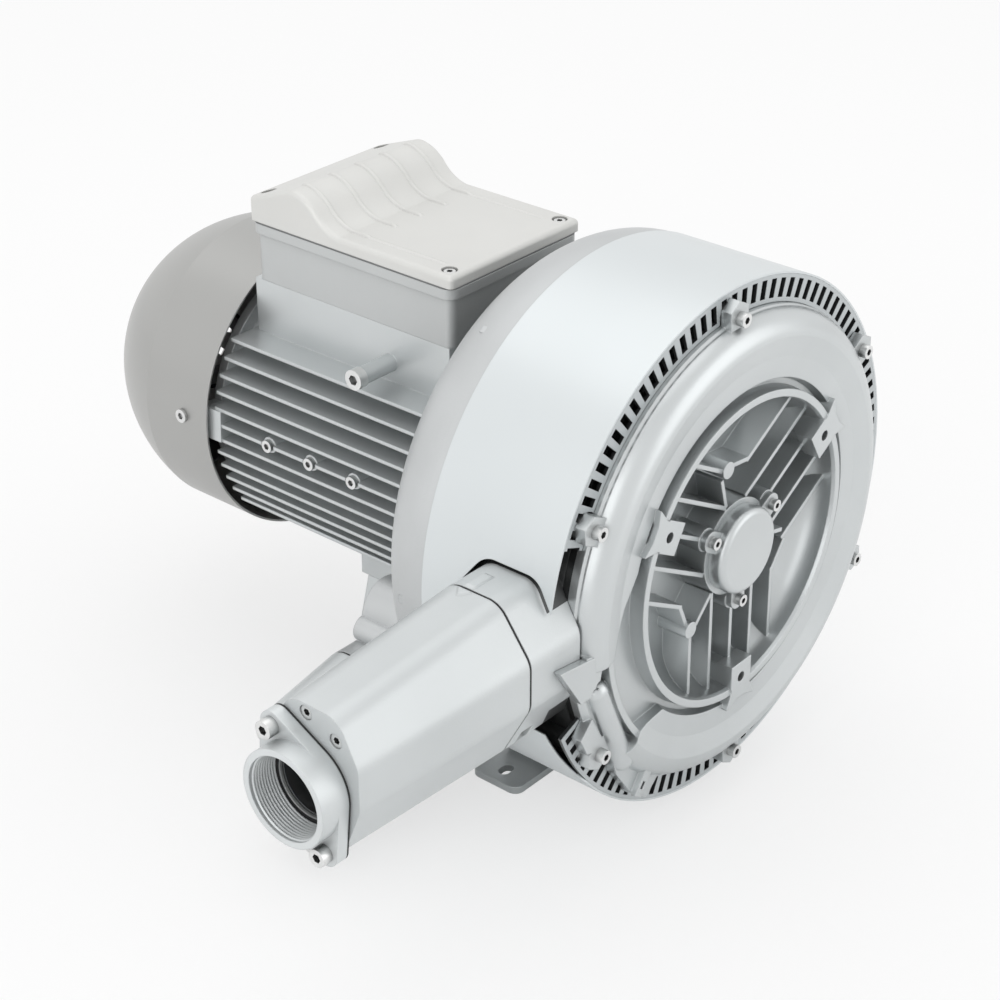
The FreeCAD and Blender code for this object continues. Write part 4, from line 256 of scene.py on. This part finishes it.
class StudioStage(bpy.types.PropertyGroup):
    """Floor, camera and light."""

    floor: bpy.props.FloatVectorProperty(
        name="Floor", description="Colour of the floor",
        subtype="COLOR", size=3, min=0, max=1, default=(0.92, 0.92, 0.92))
    floor_glow: bpy.props.FloatProperty(
        name="Floor glow", description="Share of plain white in what the camera sees of the floor",
        subtype="FACTOR", min=0, max=1, default=0.6)
    floor_side: bpy.props.FloatProperty(
        name="Floor side", description="Length of one side of the floor",
        subtype="DISTANCE", unit="LENGTH", min=1, max=40, default=16)
    camera_place: bpy.props.FloatVectorProperty(
        name="Camera place", description="Where the camera stands",
        subtype="TRANSLATION", unit="LENGTH", size=3, default=(-1.195, -1.0138, 1.0524))
    camera_azimuth: bpy.props.FloatProperty(
        name="Camera azimuth", description="Turn of the view about the vertical",
        subtype="ANGLE", unit="ROTATION", default=math.radians(-49.53))
    camera_elevation: bpy.props.FloatProperty(
        name="Camera elevation", description="Tilt of the view above the horizon",
        subtype="ANGLE", unit="ROTATION", default=math.radians(29.26))
    lens: bpy.props.FloatProperty(
        name="Lens", description="Focal length on a 36 mm sensor, in millimetres",
        min=10, max=300, default=83.4)
    key_power: bpy.props.FloatProperty(
        name="Key light", description="Power of the key light in watts",
        min=0, max=1000, default=11)
    sky: bpy.props.FloatProperty(
        name="Sky", description="Strength of the even light from all sides",
        min=0, max=2, default=0.85)


def new_material(name, colour, metallic, roughness):
    """A material with one Principled shader, its nodes and its links."""
    material = bpy.data.materials.new(name)
    material.use_nodes = True
    nodes, links = material.node_tree.nodes, material.node_tree.links
    shader = nodes["Principled BSDF"]
    shader.inputs["Base Color"].default_value = (*colour, 1)
    shader.inputs["Metallic"].default_value = metallic
    shader.inputs["Roughness"].default_value = roughness
    return material, nodes, links, shader


def object_noise(nodes, links, scale, detail=3.0):
    """Noise that stays with the piece."""
    place = nodes.new("ShaderNodeTexCoord")
    noise = nodes.new("ShaderNodeTexNoise")
    noise.inputs["Scale"].default_value = scale
    noise.inputs["Detail"].default_value = detail
    links.new(place.outputs["Object"], noise.inputs["Vector"])
    return noise


def shade_mask_in_band_hollow(nodes, links, hollow_start):
    """Mask for the painted shade: 1 in the hollow of the round band, else 0."""
    low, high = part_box("cover_band")
    place = nodes.new("ShaderNodeTexCoord")
    across = nodes.new("ShaderNodeVectorMath")
    across.operation = "MULTIPLY_ADD"
    across.inputs[1].default_value = (1, 0, 1)
    across.inputs[2].default_value = (-(low[0] + high[0]) / 2, 0, -(low[2] + high[2]) / 2)
    links.new(place.outputs["Object"], across.inputs[0])
    radius = nodes.new("ShaderNodeVectorMath")
    radius.operation = "LENGTH"
    links.new(across.outputs["Vector"], radius.inputs[0])
    outer = (high[0] - low[0]) / 2 - BAND_WALL
    within = nodes.new("ShaderNodeMath")
    within.operation = "COMPARE"
    within.inputs[1].default_value = (outer + HOLLOW_INNER) / 2
    within.inputs[2].default_value = (outer - HOLLOW_INNER) / 2
    links.new(radius.outputs["Value"], within.inputs[0])
    parts = nodes.new("ShaderNodeSeparateXYZ")
    links.new(place.outputs["Object"], parts.inputs[0])
    front, back = low[1] + hollow_start, high[1] - HOLLOW_END
    along = nodes.new("ShaderNodeMath")
    along.operation = "COMPARE"
    along.inputs[1].default_value = (front + back) / 2
    along.inputs[2].default_value = (back - front) / 2
    links.new(parts.outputs["Y"], along.inputs[0])
    both = nodes.new("ShaderNodeMath")
    both.operation = "MULTIPLY"
    links.new(within.outputs["Value"], both.inputs[0])
    links.new(along.outputs["Value"], both.inputs[1])
    return both


def paint_shade_in_band_hollow(nodes, links, shader, hollow_start=HOLLOW_START):
    """Paint shade into the colour inside the round band, so that its slots look black."""
    painted = shader.inputs["Base Color"].links[0].from_socket
    mixed = nodes.new("ShaderNodeMix")
    mixed.data_type = "RGBA"
    # The painted shade: the paint's own tone darkened for the hollow.
    dark = [tone * PAINTED_SHADE_TONE for tone in shader.inputs["Base Color"].default_value[:3]]
    hollow = shade_mask_in_band_hollow(nodes, links, hollow_start)
    links.new(hollow.outputs["Value"], mixed.inputs["Factor"])
    links.new(painted, mixed.inputs["A"])
    mixed.inputs["B"].default_value = (*dark, 1)
    links.new(mixed.outputs["Result"], shader.inputs["Base Color"])


def vary_colour(nodes, links, shader, noise, dark, light, corner_shade=0.0, reach=CASTING_REACH):
    """Mix two close tones by noise, and darken the corners as painted shade."""
    ramp = nodes.new("ShaderNodeValToRGB")
    ramp.color_ramp.elements[0].position = 0.3
    ramp.color_ramp.elements[1].position = 0.7
    ramp.color_ramp.elements[0].color = (*dark, 1)
    ramp.color_ramp.elements[1].color = (*light, 1)
    links.new(noise.outputs["Fac"], ramp.inputs["Fac"])
    if not corner_shade:
        links.new(ramp.outputs["Color"], shader.inputs["Base Color"])
        return
    # Painted shade: ambient occlusion darkens the colour in corners and recesses.
    corner = nodes.new("ShaderNodeAmbientOcclusion")
    corner.samples = 8
    corner.inputs["Distance"].default_value = reach
    open_share = nodes.new("ShaderNodeMapRange")
    open_share.inputs["To Min"].default_value = 1.0 - corner_shade
    open_share.inputs["To Max"].default_value = 1.0
    links.new(corner.outputs["AO"], open_share.inputs["Value"])
    corner_shaded = nodes.new("ShaderNodeVectorMath")
    corner_shaded.operation = "SCALE"
    links.new(ramp.outputs["Color"], corner_shaded.inputs[0])
    links.new(open_share.outputs["Result"], corner_shaded.inputs["Scale"])
    links.new(corner_shaded.outputs["Vector"], shader.inputs["Base Color"])


def add_grain(nodes, links, shader, noise, strength, depth, edge_round=0.0):
    """Fine relief on the surface, with softened edges where asked."""
    bump = nodes.new("ShaderNodeBump")
    bump.inputs["Strength"].default_value = strength
    bump.inputs["Distance"].default_value = depth
    links.new(noise.outputs["Fac"], bump.inputs["Height"])
    if edge_round:
        bevel = nodes.new("ShaderNodeBevel")
        bevel.samples = 4
        bevel.inputs["Radius"].default_value = edge_round
        links.new(bevel.outputs["Normal"], bump.inputs["Normal"])
    links.new(bump.outputs["Normal"], shader.inputs["Normal"])


def painted_casting(name, light, dark, metallic, roughness, grain, edge_round, corner_shade=0.0,
                    reach=CASTING_REACH):
    """Satin silver paint over a cast skin."""
    material, nodes, links, shader = new_material(name, light, metallic, roughness)
    shader.inputs["Coat Weight"].default_value = 0.12
    shader.inputs["Coat Roughness"].default_value = 0.3
    vary_colour(nodes, links, shader, object_noise(nodes, links, 9.0), dark, light, corner_shade,
                reach)
    # Painted shade in the hollow of the round band.
    paint_shade_in_band_hollow(nodes, links, shader)
    fine = object_noise(nodes, links, 900.0, 2.0)
    add_grain(nodes, links, shader, fine, grain, 0.0004, edge_round)
    return material


def painted_sheet(name, colour, metallic, roughness, hollow_start=HOLLOW_START):
    """Smooth satin paint on sheet metal."""
    material, nodes, links, shader = new_material(name, colour, metallic, roughness)
    shader.inputs["Coat Weight"].default_value = 0.2
    shader.inputs["Coat Roughness"].default_value = 0.22
    tone = [channel * 0.95 for channel in colour]
    vary_colour(nodes, links, shader, object_noise(nodes, links, 5.0), tone, colour)
    # Painted shade in the hollow of the round band.
    paint_shade_in_band_hollow(nodes, links, shader, hollow_start)
    fine = object_noise(nodes, links, 1400.0, 2.0)
    add_grain(nodes, links, shader, fine, 0.05, 0.0002, 0.0006)
    return material


def plated_steel(name, colour, roughness, corner_shade=0.0):
    """Metal with slight streaks of roughness, and painted shade in its sockets where asked."""
    material, nodes, links, shader = new_material(name, colour, 1.0, roughness)
    noise = object_noise(nodes, links, 160.0)
    if corner_shade:
        tone = [channel * 0.92 for channel in colour]
        vary_colour(nodes, links, shader, noise, tone, colour, corner_shade, SCREW_REACH)
    spread = nodes.new("ShaderNodeMapRange")
    spread.inputs["To Min"].default_value = max(roughness - 0.08, 0.02)
    spread.inputs["To Max"].default_value = roughness + 0.12
    links.new(noise.outputs["Fac"], spread.inputs["Value"])
    links.new(spread.outputs["Result"], shader.inputs["Roughness"])
    add_grain(nodes, links, shader, noise, 0.04, 0.0002, 0.0004)
    return material


def laminated_core(name, colour):
    """A stack of thin sheets, seen as fine rings along the shaft."""
    material, nodes, links, shader = new_material(name, colour, 0.9, 0.42)
    place = nodes.new("ShaderNodeTexCoord")
    wave = nodes.new("ShaderNodeTexWave")
    wave.bands_direction = "Y"
    wave.inputs["Scale"].default_value = 300.0
    links.new(place.outputs["Object"], wave.inputs["Vector"])
    add_grain(nodes, links, shader, wave, 0.3, 0.0003)
    return material


def moulded_plastic(name, colour, roughness, grain=0.08):
    """Rubber or plastic with a fine matt grain."""
    material, nodes, links, shader = new_material(name, colour, 0.0, roughness)
    noise = object_noise(nodes, links, 700.0, 2.0)
    add_grain(nodes, links, shader, noise, grain, 0.0004, 0.0005)
    return material


def open_foam(name, colour):
    """Open-cell foam with deep pores, whose shade is painted into the colour."""
    material, nodes, links, shader = new_material(name, colour, 0.0, 0.95)
    place = nodes.new("ShaderNodeTexCoord")
    cells = nodes.new("ShaderNodeTexVoronoi")
    cells.inputs["Scale"].default_value = 520.0
    links.new(place.outputs["Object"], cells.inputs["Vector"])
    # Painted shade: the colour darkens towards the middle of each cell, where the pores are.
    ramp = nodes.new("ShaderNodeValToRGB")
    ramp.color_ramp.elements[0].color = (*[channel * 0.3 for channel in colour], 1)
    ramp.color_ramp.elements[1].color = (*colour, 1)
    links.new(cells.outputs["Distance"], ramp.inputs["Fac"])
    links.new(ramp.outputs["Color"], shader.inputs["Base Color"])
    bump = nodes.new("ShaderNodeBump")
    bump.inputs["Strength"].default_value = 0.9
    bump.inputs["Distance"].default_value = 0.001
    links.new(cells.outputs["Distance"], bump.inputs["Height"])
    links.new(bump.outputs["Normal"], shader.inputs["Normal"])
    return material


def wound_copper(name):
    """Varnished copper wire in round end turns."""
    material, nodes, links, shader = new_material(name, (0.50, 0.20, 0.08), 0.75, 0.38)
    place = nodes.new("ShaderNodeTexCoord")
    wave = nodes.new("ShaderNodeTexWave")
    wave.wave_type = "RINGS"
    wave.rings_direction = "Y"
    wave.inputs["Scale"].default_value = 160.0
    wave.inputs["Distortion"].default_value = 1.5
    links.new(place.outputs["Object"], wave.inputs["Vector"])
    add_grain(nodes, links, shader, wave, 0.6, 0.0008)
    return material


def dress_nodes(names, material):
    """Give one finish to some CAD nodes, which may differ from the rest of their slot."""
    for name in names:
        mesh = frame["nodes"][name].data
        mesh.materials.clear()
        mesh.materials.append(material)


def dress(slot, material):
    """Give one finish to every CAD node of a material slot."""
    dress_nodes([entry["node"] for entry in frame["record"]["subparts"]
                 if entry["material_slot"] == slot], material)


def piece_from(bm, name, body, material):
    """A finished piece that rides on a body."""
    bmesh.ops.remove_doubles(bm, verts=bm.verts, dist=1e-6)
    bmesh.ops.recalc_face_normals(bm, faces=bm.faces)
    mesh = bpy.data.meshes.new(name)
    bm.to_mesh(mesh)
    bm.free()
    mesh.materials.append(material)
    item = bpy.data.objects.new(name, mesh)
    bpy.context.scene.collection.objects.link(item)
    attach(item, body)
    return item


def surface_of(*names):
    """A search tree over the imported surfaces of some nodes."""
    points, faces = [], []
    for name in names:
        mesh = frame["nodes"][name].data
        start = len(points)
        points += [vertex.co.copy() for vertex in mesh.vertices]
        faces += [[start + index for index in face.vertices] for face in mesh.polygons]
    return BVHTree.FromPolygons(points, faces)


def height_above(tree, x, y):
    """Height of the highest surface over a place on the floor."""
    hit = tree.ray_cast(Vector((x, y, SEARCH_HEIGHT)), Vector((0, 0, -1)))[0]
    if hit is None:
        raise RuntimeError(f"no surface under {x:.4f}, {y:.4f}")
    return hit.z


def thicken_down(bm):
    """Close a sheet into a thin body by pulling a copy of it down."""
    made = bmesh.ops.extrude_face_region(bm, geom=bm.faces[:])["geom"]
    verts = [item for item in made if isinstance(item, bmesh.types.BMVert)]
    bmesh.ops.translate(bm, verts=verts, vec=(0, 0, -RAISED_DEPTH))


class BLOWER_OT_castings(bpy.types.Operator):
    """Paint the castings and the sheet parts"""

    bl_idname = "blower.castings"
    bl_label = "Castings and sheet parts"

    def execute(self, context):
        finish = context.scene.blower_finish
        metallic, roughness = finish.metallic, finish.paint_roughness
        dress("silver_paint", self.silver(finish, "silver paint", metallic, roughness))
        dress_nodes(("front_cover", "hub_cap"),
                    self.silver(finish, "cover paint", metallic * 1.12, roughness - 0.03))
        dress_nodes(("intermediate_casing", "discharge_silencer", "suction_silencer"),
                    self.silver(finish, "silencer paint", metallic * 0.7, roughness + 0.08))
        # Painted light: the port flanges get a lighter copy of the silver paint, standing in for
        # the stronger light on their faces.
        painted_light_silver = [channel * 1.16 for channel in finish.silver]
        dress_nodes(("discharge_port_flange", "suction_port_flange"),
                    painted_casting("port flange lit paint", painted_light_silver, finish.silver,
                                    metallic * 0.7, roughness + 0.05, finish.grain,
                                    finish.edge_round, finish.corner_shade))
        dress_nodes(("motor_frame",),
                    self.silver(finish, "fin paint", metallic * 0.8, roughness, 0.3))
        dark = [channel * 0.86 for channel in finish.cast]
        dress("dark_cast", painted_casting("bare casting", finish.cast, dark, metallic, 0.5,
                                           0.3, finish.edge_round))
        dress("band_paint", painted_sheet("band paint", finish.band, metallic * 0.7, 0.36))
        dress_nodes(("slotted_guard_ring",),
                    painted_sheet("guard ring paint", finish.guard, metallic * 0.7, 0.36,
                                  GUARD_HOLLOW_START))
        dress("cowl_paint", painted_sheet("cowl paint", finish.cowl, metallic, 0.38))
        # The terminal box and lid get painted shade in their corners over a wider reach.
        for name, colour, shine, corner_shade in (("terminal_box", finish.box, 0.8, 1.4),
                                          ("terminal_lid", finish.lid, 0.45, 0.8)):
            shade = [channel * 0.94 for channel in colour]
            paint = painted_casting(f"{name} paint", colour, shade, metallic * shine, 0.50,
                                    finish.grain * 0.6, finish.edge_round,
                                    finish.corner_shade * corner_shade, BOX_REACH)
            dress_nodes((name,), paint)
        return {"FINISHED"}

    def silver(self, finish, name, metallic, roughness, corner_shade_share=1.0):
        """The silver paint of the castings, with a shine of its own."""
        return painted_casting(name, finish.silver, finish.silver_shade, metallic, roughness,
                               finish.grain, finish.edge_round, finish.corner_shade * corner_shade_share)


class BLOWER_OT_metals(bpy.types.Operator):
    """Finish the screws, shaft, bearings, wheels and cores"""

    bl_idname = "blower.metals"
    bl_label = "Screws and bare metals"

    def execute(self, context):
        finish = context.scene.blower_finish
        # The screws get painted shade in their sockets.
        dress("zinc_steel", plated_steel("zinc plate", finish.zinc, 0.30, 0.95))
        dress("bearing_steel", plated_steel("ground steel", (0.62, 0.62, 0.63), 0.16))
        dress("shaft_steel", plated_steel("turned steel", (0.50, 0.51, 0.52), 0.26))
        dress("stud_brass", plated_steel("bright brass", (0.72, 0.52, 0.20), 0.24))
        dress("bare_aluminium", plated_steel("cast aluminium", (0.60, 0.61, 0.62), 0.45))
        dress("core_steel", laminated_core("laminated core", (0.30, 0.31, 0.32)))
        dress("copper_wire", wound_copper("copper wire"))
        return {"FINISHED"}


class BLOWER_OT_soft_parts(bpy.types.Operator):
    """Finish the gaskets, seals, foam sleeves and plastic parts"""

    bl_idname = "blower.soft_parts"
    bl_label = "Gaskets, foam and plastic"

    def execute(self, context):
        dress("black_rubber", moulded_plastic("black rubber", (0.025, 0.025, 0.026), 0.75))
        seal = moulded_plastic("grey seal", (0.20, 0.205, 0.205), 0.7)
        dress_nodes(("lid_gasket",), seal)
        dress("black_plastic", moulded_plastic("black plastic", (0.03, 0.03, 0.032), 0.5))
        dress("grey_foam", open_foam("grey foam", (0.16, 0.165, 0.17)))
        return {"FINISHED"}


class BLOWER_OT_lid_ridges(bpy.types.Operator):
    """Raise the soft ridges of the terminal box lid"""

    bl_idname = "blower.lid_ridges"
    bl_label = "Lid ridges"

    def execute(self, context):
        sizes = context.scene.lid_ridge
        material = frame["nodes"]["terminal_lid"].data.materials[0]
        lid = surface_of("terminal_lid")
        low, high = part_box("terminal_lid")
        middle = (low[0] + high[0]) / 2
        top, foot, tail = (low[1] + place for place in (sizes.top, sizes.foot, sizes.tail))
        rows = [(row * sizes.pitch, foot, top, sizes.height) for row in range(-2, 3)]
        rows += [(row * sizes.pitch, tail, foot + sizes.width, sizes.tail_height)
                 for row in (-2, 2)]
        for number, (aside, first, last, height) in enumerate(rows):
            centre = middle + aside
            bm = bmesh.new()
            bmesh.ops.create_grid(bm, x_segments=8, y_segments=48, size=1)
            half = (last - first) / 2
            for vert in bm.verts:
                across, along = vert.co.x, vert.co.y
                y = (first + last) / 2 + along * half
                fade = min(1.0, (1 - abs(along)) * half / sizes.width)
                crown = (1 - across * across) * height * math.sin(fade * math.pi / 2)
                ground = height_above(lid, centre + sizes.width, y)
                vert.co = (centre + across * sizes.width / 2, y, ground + crown - SUNK)
            thicken_down(bm)
            piece_from(bm, f"lid_ridge_{number + 1}", HOUSING, material)
        return {"FINISHED"}


class BLOWER_OT_flow_arrow(bpy.types.Operator):
    """Raise the cast arrow on top of the discharge neck and silencer"""

    bl_idname = "blower.flow_arrow"
    bl_label = "Flow arrow"

    def execute(self, context):
        sizes = context.scene.flow_arrow
        material = frame["nodes"]["discharge_silencer"].data.materials[0]
        top = surface_of("discharge_silencer", "intermediate_casing")
        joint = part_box("discharge_silencer")[1][0]
        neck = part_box("discharge_gasket")[1][0]
        y, half = sizes.middle, sizes.shaft_half
        head = [(joint - sizes.head, y), (joint - ARROW_GAP, y - sizes.spread),
                (joint - ARROW_GAP, y + sizes.spread)]
        shaft = [(neck + ARROW_GAP, y - half), (neck + sizes.shaft, y - half),
                 (neck + sizes.shaft, y + half), (neck + ARROW_GAP, y + half)]
        for name, outline in (("flow_arrow_head", head), ("flow_arrow_shaft", shaft)):
            bm = bmesh.new()
            bm.faces.new([bm.verts.new((*corner, 0)) for corner in outline])
            bmesh.ops.triangulate(bm, faces=bm.faces[:])
            bmesh.ops.subdivide_edges(bm, edges=bm.edges[:], cuts=7, use_grid_fill=True)
            rim = {vert for edge in bm.edges if edge.is_boundary for vert in edge.verts}
            for vert in bm.verts:
                lift = -SUNK if vert in rim else sizes.height
                vert.co.z = height_above(top, vert.co.x, vert.co.y) + lift
            thicken_down(bm)
            piece_from(bm, name, HOUSING, material)
        return {"FINISHED"}


class BLOWER_OT_port_collars(bpy.types.Operator):
    """Line the mouth of both silencers behind the port threads"""

    bl_idname = "blower.port_collars"
    bl_label = "Port collars"

    def execute(self, context):
        sizes = context.scene.port_collar
        seal = frame["nodes"]["discharge_gasket"].data.materials[0]
        foam = frame["nodes"]["discharge_foam_sleeve"].data.materials[0]
        steel = plated_steel("collar steel", sizes.colour, 0.45)
        dark = plated_steel("dark tube steel", sizes.tube_colour, 0.5)
        for place in ("discharge", "suction"):
            silencer_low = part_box(f"{place}_silencer")[0]
            sleeve_low, sleeve_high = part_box(f"{place}_foam_sleeve")
            centre = Vector((silencer_low[0], (sleeve_low[1] + sleeve_high[1]) / 2,
                             (sleeve_low[2] + sleeve_high[2]) / 2))
            # Painted shade: a black ring of the gasket's rubber stands in for the dark gap between
            # the thread and the collar.
            self.ring(f"{place}_port_gap_shade_ring", centre, seal, "black_rubber",
                      ((-0.0006, sizes.shade_ring_inner), (-0.0016, sizes.shade_ring_inner),
                       (-0.0016, sizes.shade_ring_outer), (-0.0006, sizes.shade_ring_outer)))
            self.ring(f"{place}_port_collar", centre, steel, "bearing_steel",
                      ((-0.0004, sizes.inner), (-0.0022, sizes.inner + 0.0004),
                       (-0.0022, sizes.outer - 0.0003), (-0.0004, sizes.outer)))
            wall = (sleeve_high[1] - sleeve_low[1]) / 2
            mouth = sizes.tube
            self.ring(f"{place}_mouth_tube", centre, dark, "bearing_steel",
                      ((0.0002, wall - TUBE_WALL), (0.0002, wall), (mouth, wall),
                       (mouth, wall - TUBE_WALL)))
            end = sleeve_high[0] - centre.x
            sleeve = self.ring(f"{place}_foam", centre, foam, "grey_foam",
                               ((mouth + TUBE_GAP, wall), (end, wall),
                                (end, sizes.foam_inner),
                                (mouth + TUBE_GAP, sizes.foam_inner)))
            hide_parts(f"{place}_foam_sleeve")
        return {"FINISHED"}

    def ring(self, name, centre, material, slot, outline):
        """A turned ring about a port's axis from (along, radius) corners."""
        bm = bmesh.new()
        verts = [bm.verts.new((centre.x + along, centre.y, centre.z + radius))
                 for along, radius in outline]
        edges = [bm.edges.new((verts[index], verts[(index + 1) % len(verts)]))
                 for index in range(len(verts))]
        bmesh.ops.spin(bm, geom=verts + edges, cent=centre, axis=(1, 0, 0),
                       angle=2 * math.pi, steps=96, use_merge=True, use_duplicate=False)
        item = piece_from(bm, name, HOUSING, material)
        item.data.shade_smooth()
        item.data.set_sharp_from_angle(angle=math.radians(40))
        return item


class BLOWER_OT_port_threads(bpy.types.Operator):
    """Cut the look of a pipe thread into both ports"""

    bl_idname = "blower.port_threads"
    bl_label = "Port threads"

    def execute(self, context):
        sizes = context.scene.port_thread
        material = frame["nodes"]["discharge_port_flange"].data.materials[0]
        mounts = {mount["name"]: mount for mount in frame["record"]["mounts"]}
        for place in ("discharge", "suction"):
            port = mounts[f"{place}_port"]
            centre = Vector(port["pos_m"])
            wall = port["dims"]["r_mm"] / 1000
            length = port["dims"]["length_mm"] / 1000
            turns = math.floor(length / sizes.pitch) - 1
            start = centre.x - turns * sizes.pitch / 2
            bm = bmesh.new()
            half = sizes.pitch * THREAD_HALF
            root, crest = wall + THREAD_SUNK, sizes.crest_radius
            corners = [(start - half, root), (start, crest), (start + half, root)]
            verts = [bm.verts.new((x, centre.y, centre.z + up)) for x, up in corners]
            edges = [bm.edges.new((verts[0], verts[1])), bm.edges.new((verts[1], verts[2]))]
            steps = sizes.steps * turns
            bmesh.ops.spin(bm, geom=verts + edges, cent=centre, axis=(1, 0, 0),
                           dvec=(sizes.pitch / sizes.steps, 0, 0),
                           angle=2 * math.pi * turns, steps=steps, use_merge=False,
                           use_duplicate=False)
            piece_from(bm, f"{place}_port_thread", HOUSING, material)
        return {"FINISHED"}


def look_from(azimuth, elevation, place):
    """The world matrix of a camera at a place, for a view azimuth and elevation."""
    back = Vector((math.sin(azimuth) * math.cos(elevation),
                   -math.cos(azimuth) * math.cos(elevation), math.sin(elevation)))
    right = Vector((math.cos(azimuth), math.sin(azimuth), 0))
    up = back.cross(right)
    turn = Matrix((right, up, back)).transposed().to_4x4()
    return Matrix.Translation(place) @ turn


def soft_lamp(name, place, target, side, power):
    """A square area lamp that looks at a target."""
    lamp = bpy.data.lights.new(name, "AREA")
    lamp.shape = "SQUARE"
    lamp.size = side
    lamp.energy = power
    item = bpy.data.objects.new(name, lamp)
    bpy.context.scene.collection.objects.link(item)
    aim = Vector(target) - Vector(place)
    turn = aim.to_track_quat("-Z", "Y").to_matrix().to_4x4()
    item.matrix_world = Matrix.Translation(place) @ turn
    return item


def pale_backdrop(sky):
    """A world that lights evenly and shows white behind the object."""
    world = bpy.data.worlds.new("studio")
    bpy.context.scene.world = world
    world.use_nodes = True
    nodes, links = world.node_tree.nodes, world.node_tree.links
    background = nodes["Background"]
    background.inputs["Color"].default_value = (1, 1, 1, 1)
    path = nodes.new("ShaderNodeLightPath")
    seen = path.outputs["Is Camera Ray"]
    for ray in ("Is Glossy Ray", "Is Transmission Ray"):
        either = nodes.new("ShaderNodeMath")
        either.operation = "MAXIMUM"
        links.new(seen, either.inputs[0])
        links.new(path.outputs[ray], either.inputs[1])
        seen = either.outputs["Value"]
    spread = nodes.new("ShaderNodeMapRange")
    spread.inputs["To Min"].default_value = sky
    spread.inputs["To Max"].default_value = 1.0
    links.new(seen, spread.inputs["Value"])
    links.new(spread.outputs["Result"], background.inputs["Strength"])


def pale_floor(colour, glow):
    """A floor that the camera sees near white, with the object's shadow kept."""
    material, nodes, links, shader = new_material("pale floor", colour, 0.0, 0.9)
    tone = [channel * 0.995 for channel in colour]
    vary_colour(nodes, links, shader, object_noise(nodes, links, 3.0), tone, colour)
    path = nodes.new("ShaderNodeLightPath")
    share = nodes.new("ShaderNodeMath")
    share.operation = "MULTIPLY"
    share.inputs[1].default_value = glow
    links.new(path.outputs["Is Camera Ray"], share.inputs[0])
    white = nodes.new("ShaderNodeEmission")
    white.inputs["Color"].default_value = (1, 1, 1, 1)
    mixed = nodes.new("ShaderNodeMixShader")
    links.new(share.outputs["Value"], mixed.inputs["Fac"])
    links.new(shader.outputs["BSDF"], mixed.inputs[1])
    links.new(white.outputs["Emission"], mixed.inputs[2])
    links.new(mixed.outputs["Shader"], nodes["Material Output"].inputs["Surface"])
    return material


class BLOWER_OT_stage(bpy.types.Operator):
    """Set up the pale floor, the soft light and the camera"""

    bl_idname = "blower.stage"
    bl_label = "Studio stage"

    def execute(self, context):
        stage = context.scene.studio_stage
        bm = bmesh.new()
        bmesh.ops.create_grid(bm, x_segments=1, y_segments=1, size=stage.floor_side / 2)
        bmesh.ops.translate(bm, verts=bm.verts, vec=(0, 0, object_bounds()[0][2] - FLOOR_GAP))
        mesh = bpy.data.meshes.new("floor")
        bm.to_mesh(mesh)
        bm.free()
        mesh.materials.append(pale_floor(tuple(stage.floor), stage.floor_glow))
        floor = bpy.data.objects.new("floor", mesh)
        context.scene.collection.objects.link(floor)
        floor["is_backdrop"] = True
        pale_backdrop(stage.sky)
        target = (0, 0, 0.2)
        power = stage.key_power
        soft_lamp("key light", (-2.6, -0.4, 1.3), target, 2.6, power * 1.6)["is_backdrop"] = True
        soft_lamp("top light", (0.3, 0.6, 3.0), target, 3.0, power * 1.3)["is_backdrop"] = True
        soft_lamp("fill light", (1.3, -2.4, 0.8), target, 2.4, power * 1.2)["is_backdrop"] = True
        camera = bpy.data.cameras.new("camera")
        camera.lens = stage.lens
        camera.sensor_width = SENSOR_WIDTH
        item = bpy.data.objects.new("camera", camera)
        context.scene.collection.objects.link(item)
        item.matrix_world = look_from(stage.camera_azimuth, stage.camera_elevation,
                                      Vector(stage.camera_place))
        context.scene.camera = item
        context.scene.view_settings.view_transform = "Standard"
        return {"FINISHED"}


OPERATORS = (BLOWER_OT_castings, BLOWER_OT_metals, BLOWER_OT_soft_parts,
             BLOWER_OT_lid_ridges, BLOWER_OT_flow_arrow, BLOWER_OT_port_collars,
             BLOWER_OT_port_threads, BLOWER_OT_stage)
GROUPS = {"blower_finish": BlowerFinish, "lid_ridge": LidRidge, "flow_arrow": FlowArrow,
          "port_collar": PortCollar, "port_thread": PortThread, "studio_stage": StudioStage}


class BLOWER_PT_panel(bpy.types.Panel):
    """The blower's pieces and stage"""

    bl_idname = "BLOWER_PT_panel"
    bl_label = "Side channel blower"
    bl_space_type = "VIEW_3D"
    bl_region_type = "UI"
    bl_category = "Blower"

    def draw(self, context):
        for operator in OPERATORS:
            self.layout.operator(operator.bl_idname)
        for name, group in GROUPS.items():
            values = getattr(context.scene, name)
            for value in group.__annotations__:
                self.layout.prop(values, value)


def register():
    for name, group in GROUPS.items():
        bpy.utils.register_class(group)
        setattr(bpy.types.Scene, name, bpy.props.PointerProperty(type=group))
    for operator in OPERATORS:
        bpy.utils.register_class(operator)
    bpy.utils.register_class(BLOWER_PT_panel)


def unregister():
    bpy.utils.unregister_class(BLOWER_PT_panel)
    for operator in reversed(OPERATORS):
        bpy.utils.unregister_class(operator)
    for name, group in GROUPS.items():
        delattr(bpy.types.Scene, name)
        bpy.utils.unregister_class(group)


def main():
    register()
    bpy.ops.blower.castings()
    bpy.ops.blower.metals()
    bpy.ops.blower.soft_parts()
    bpy.ops.blower.lid_ridges()
    bpy.ops.blower.flow_arrow()
    bpy.ops.blower.port_collars()
    bpy.ops.blower.port_threads()
    bpy.ops.blower.stage()


if __name__ == "__main__":
    main()
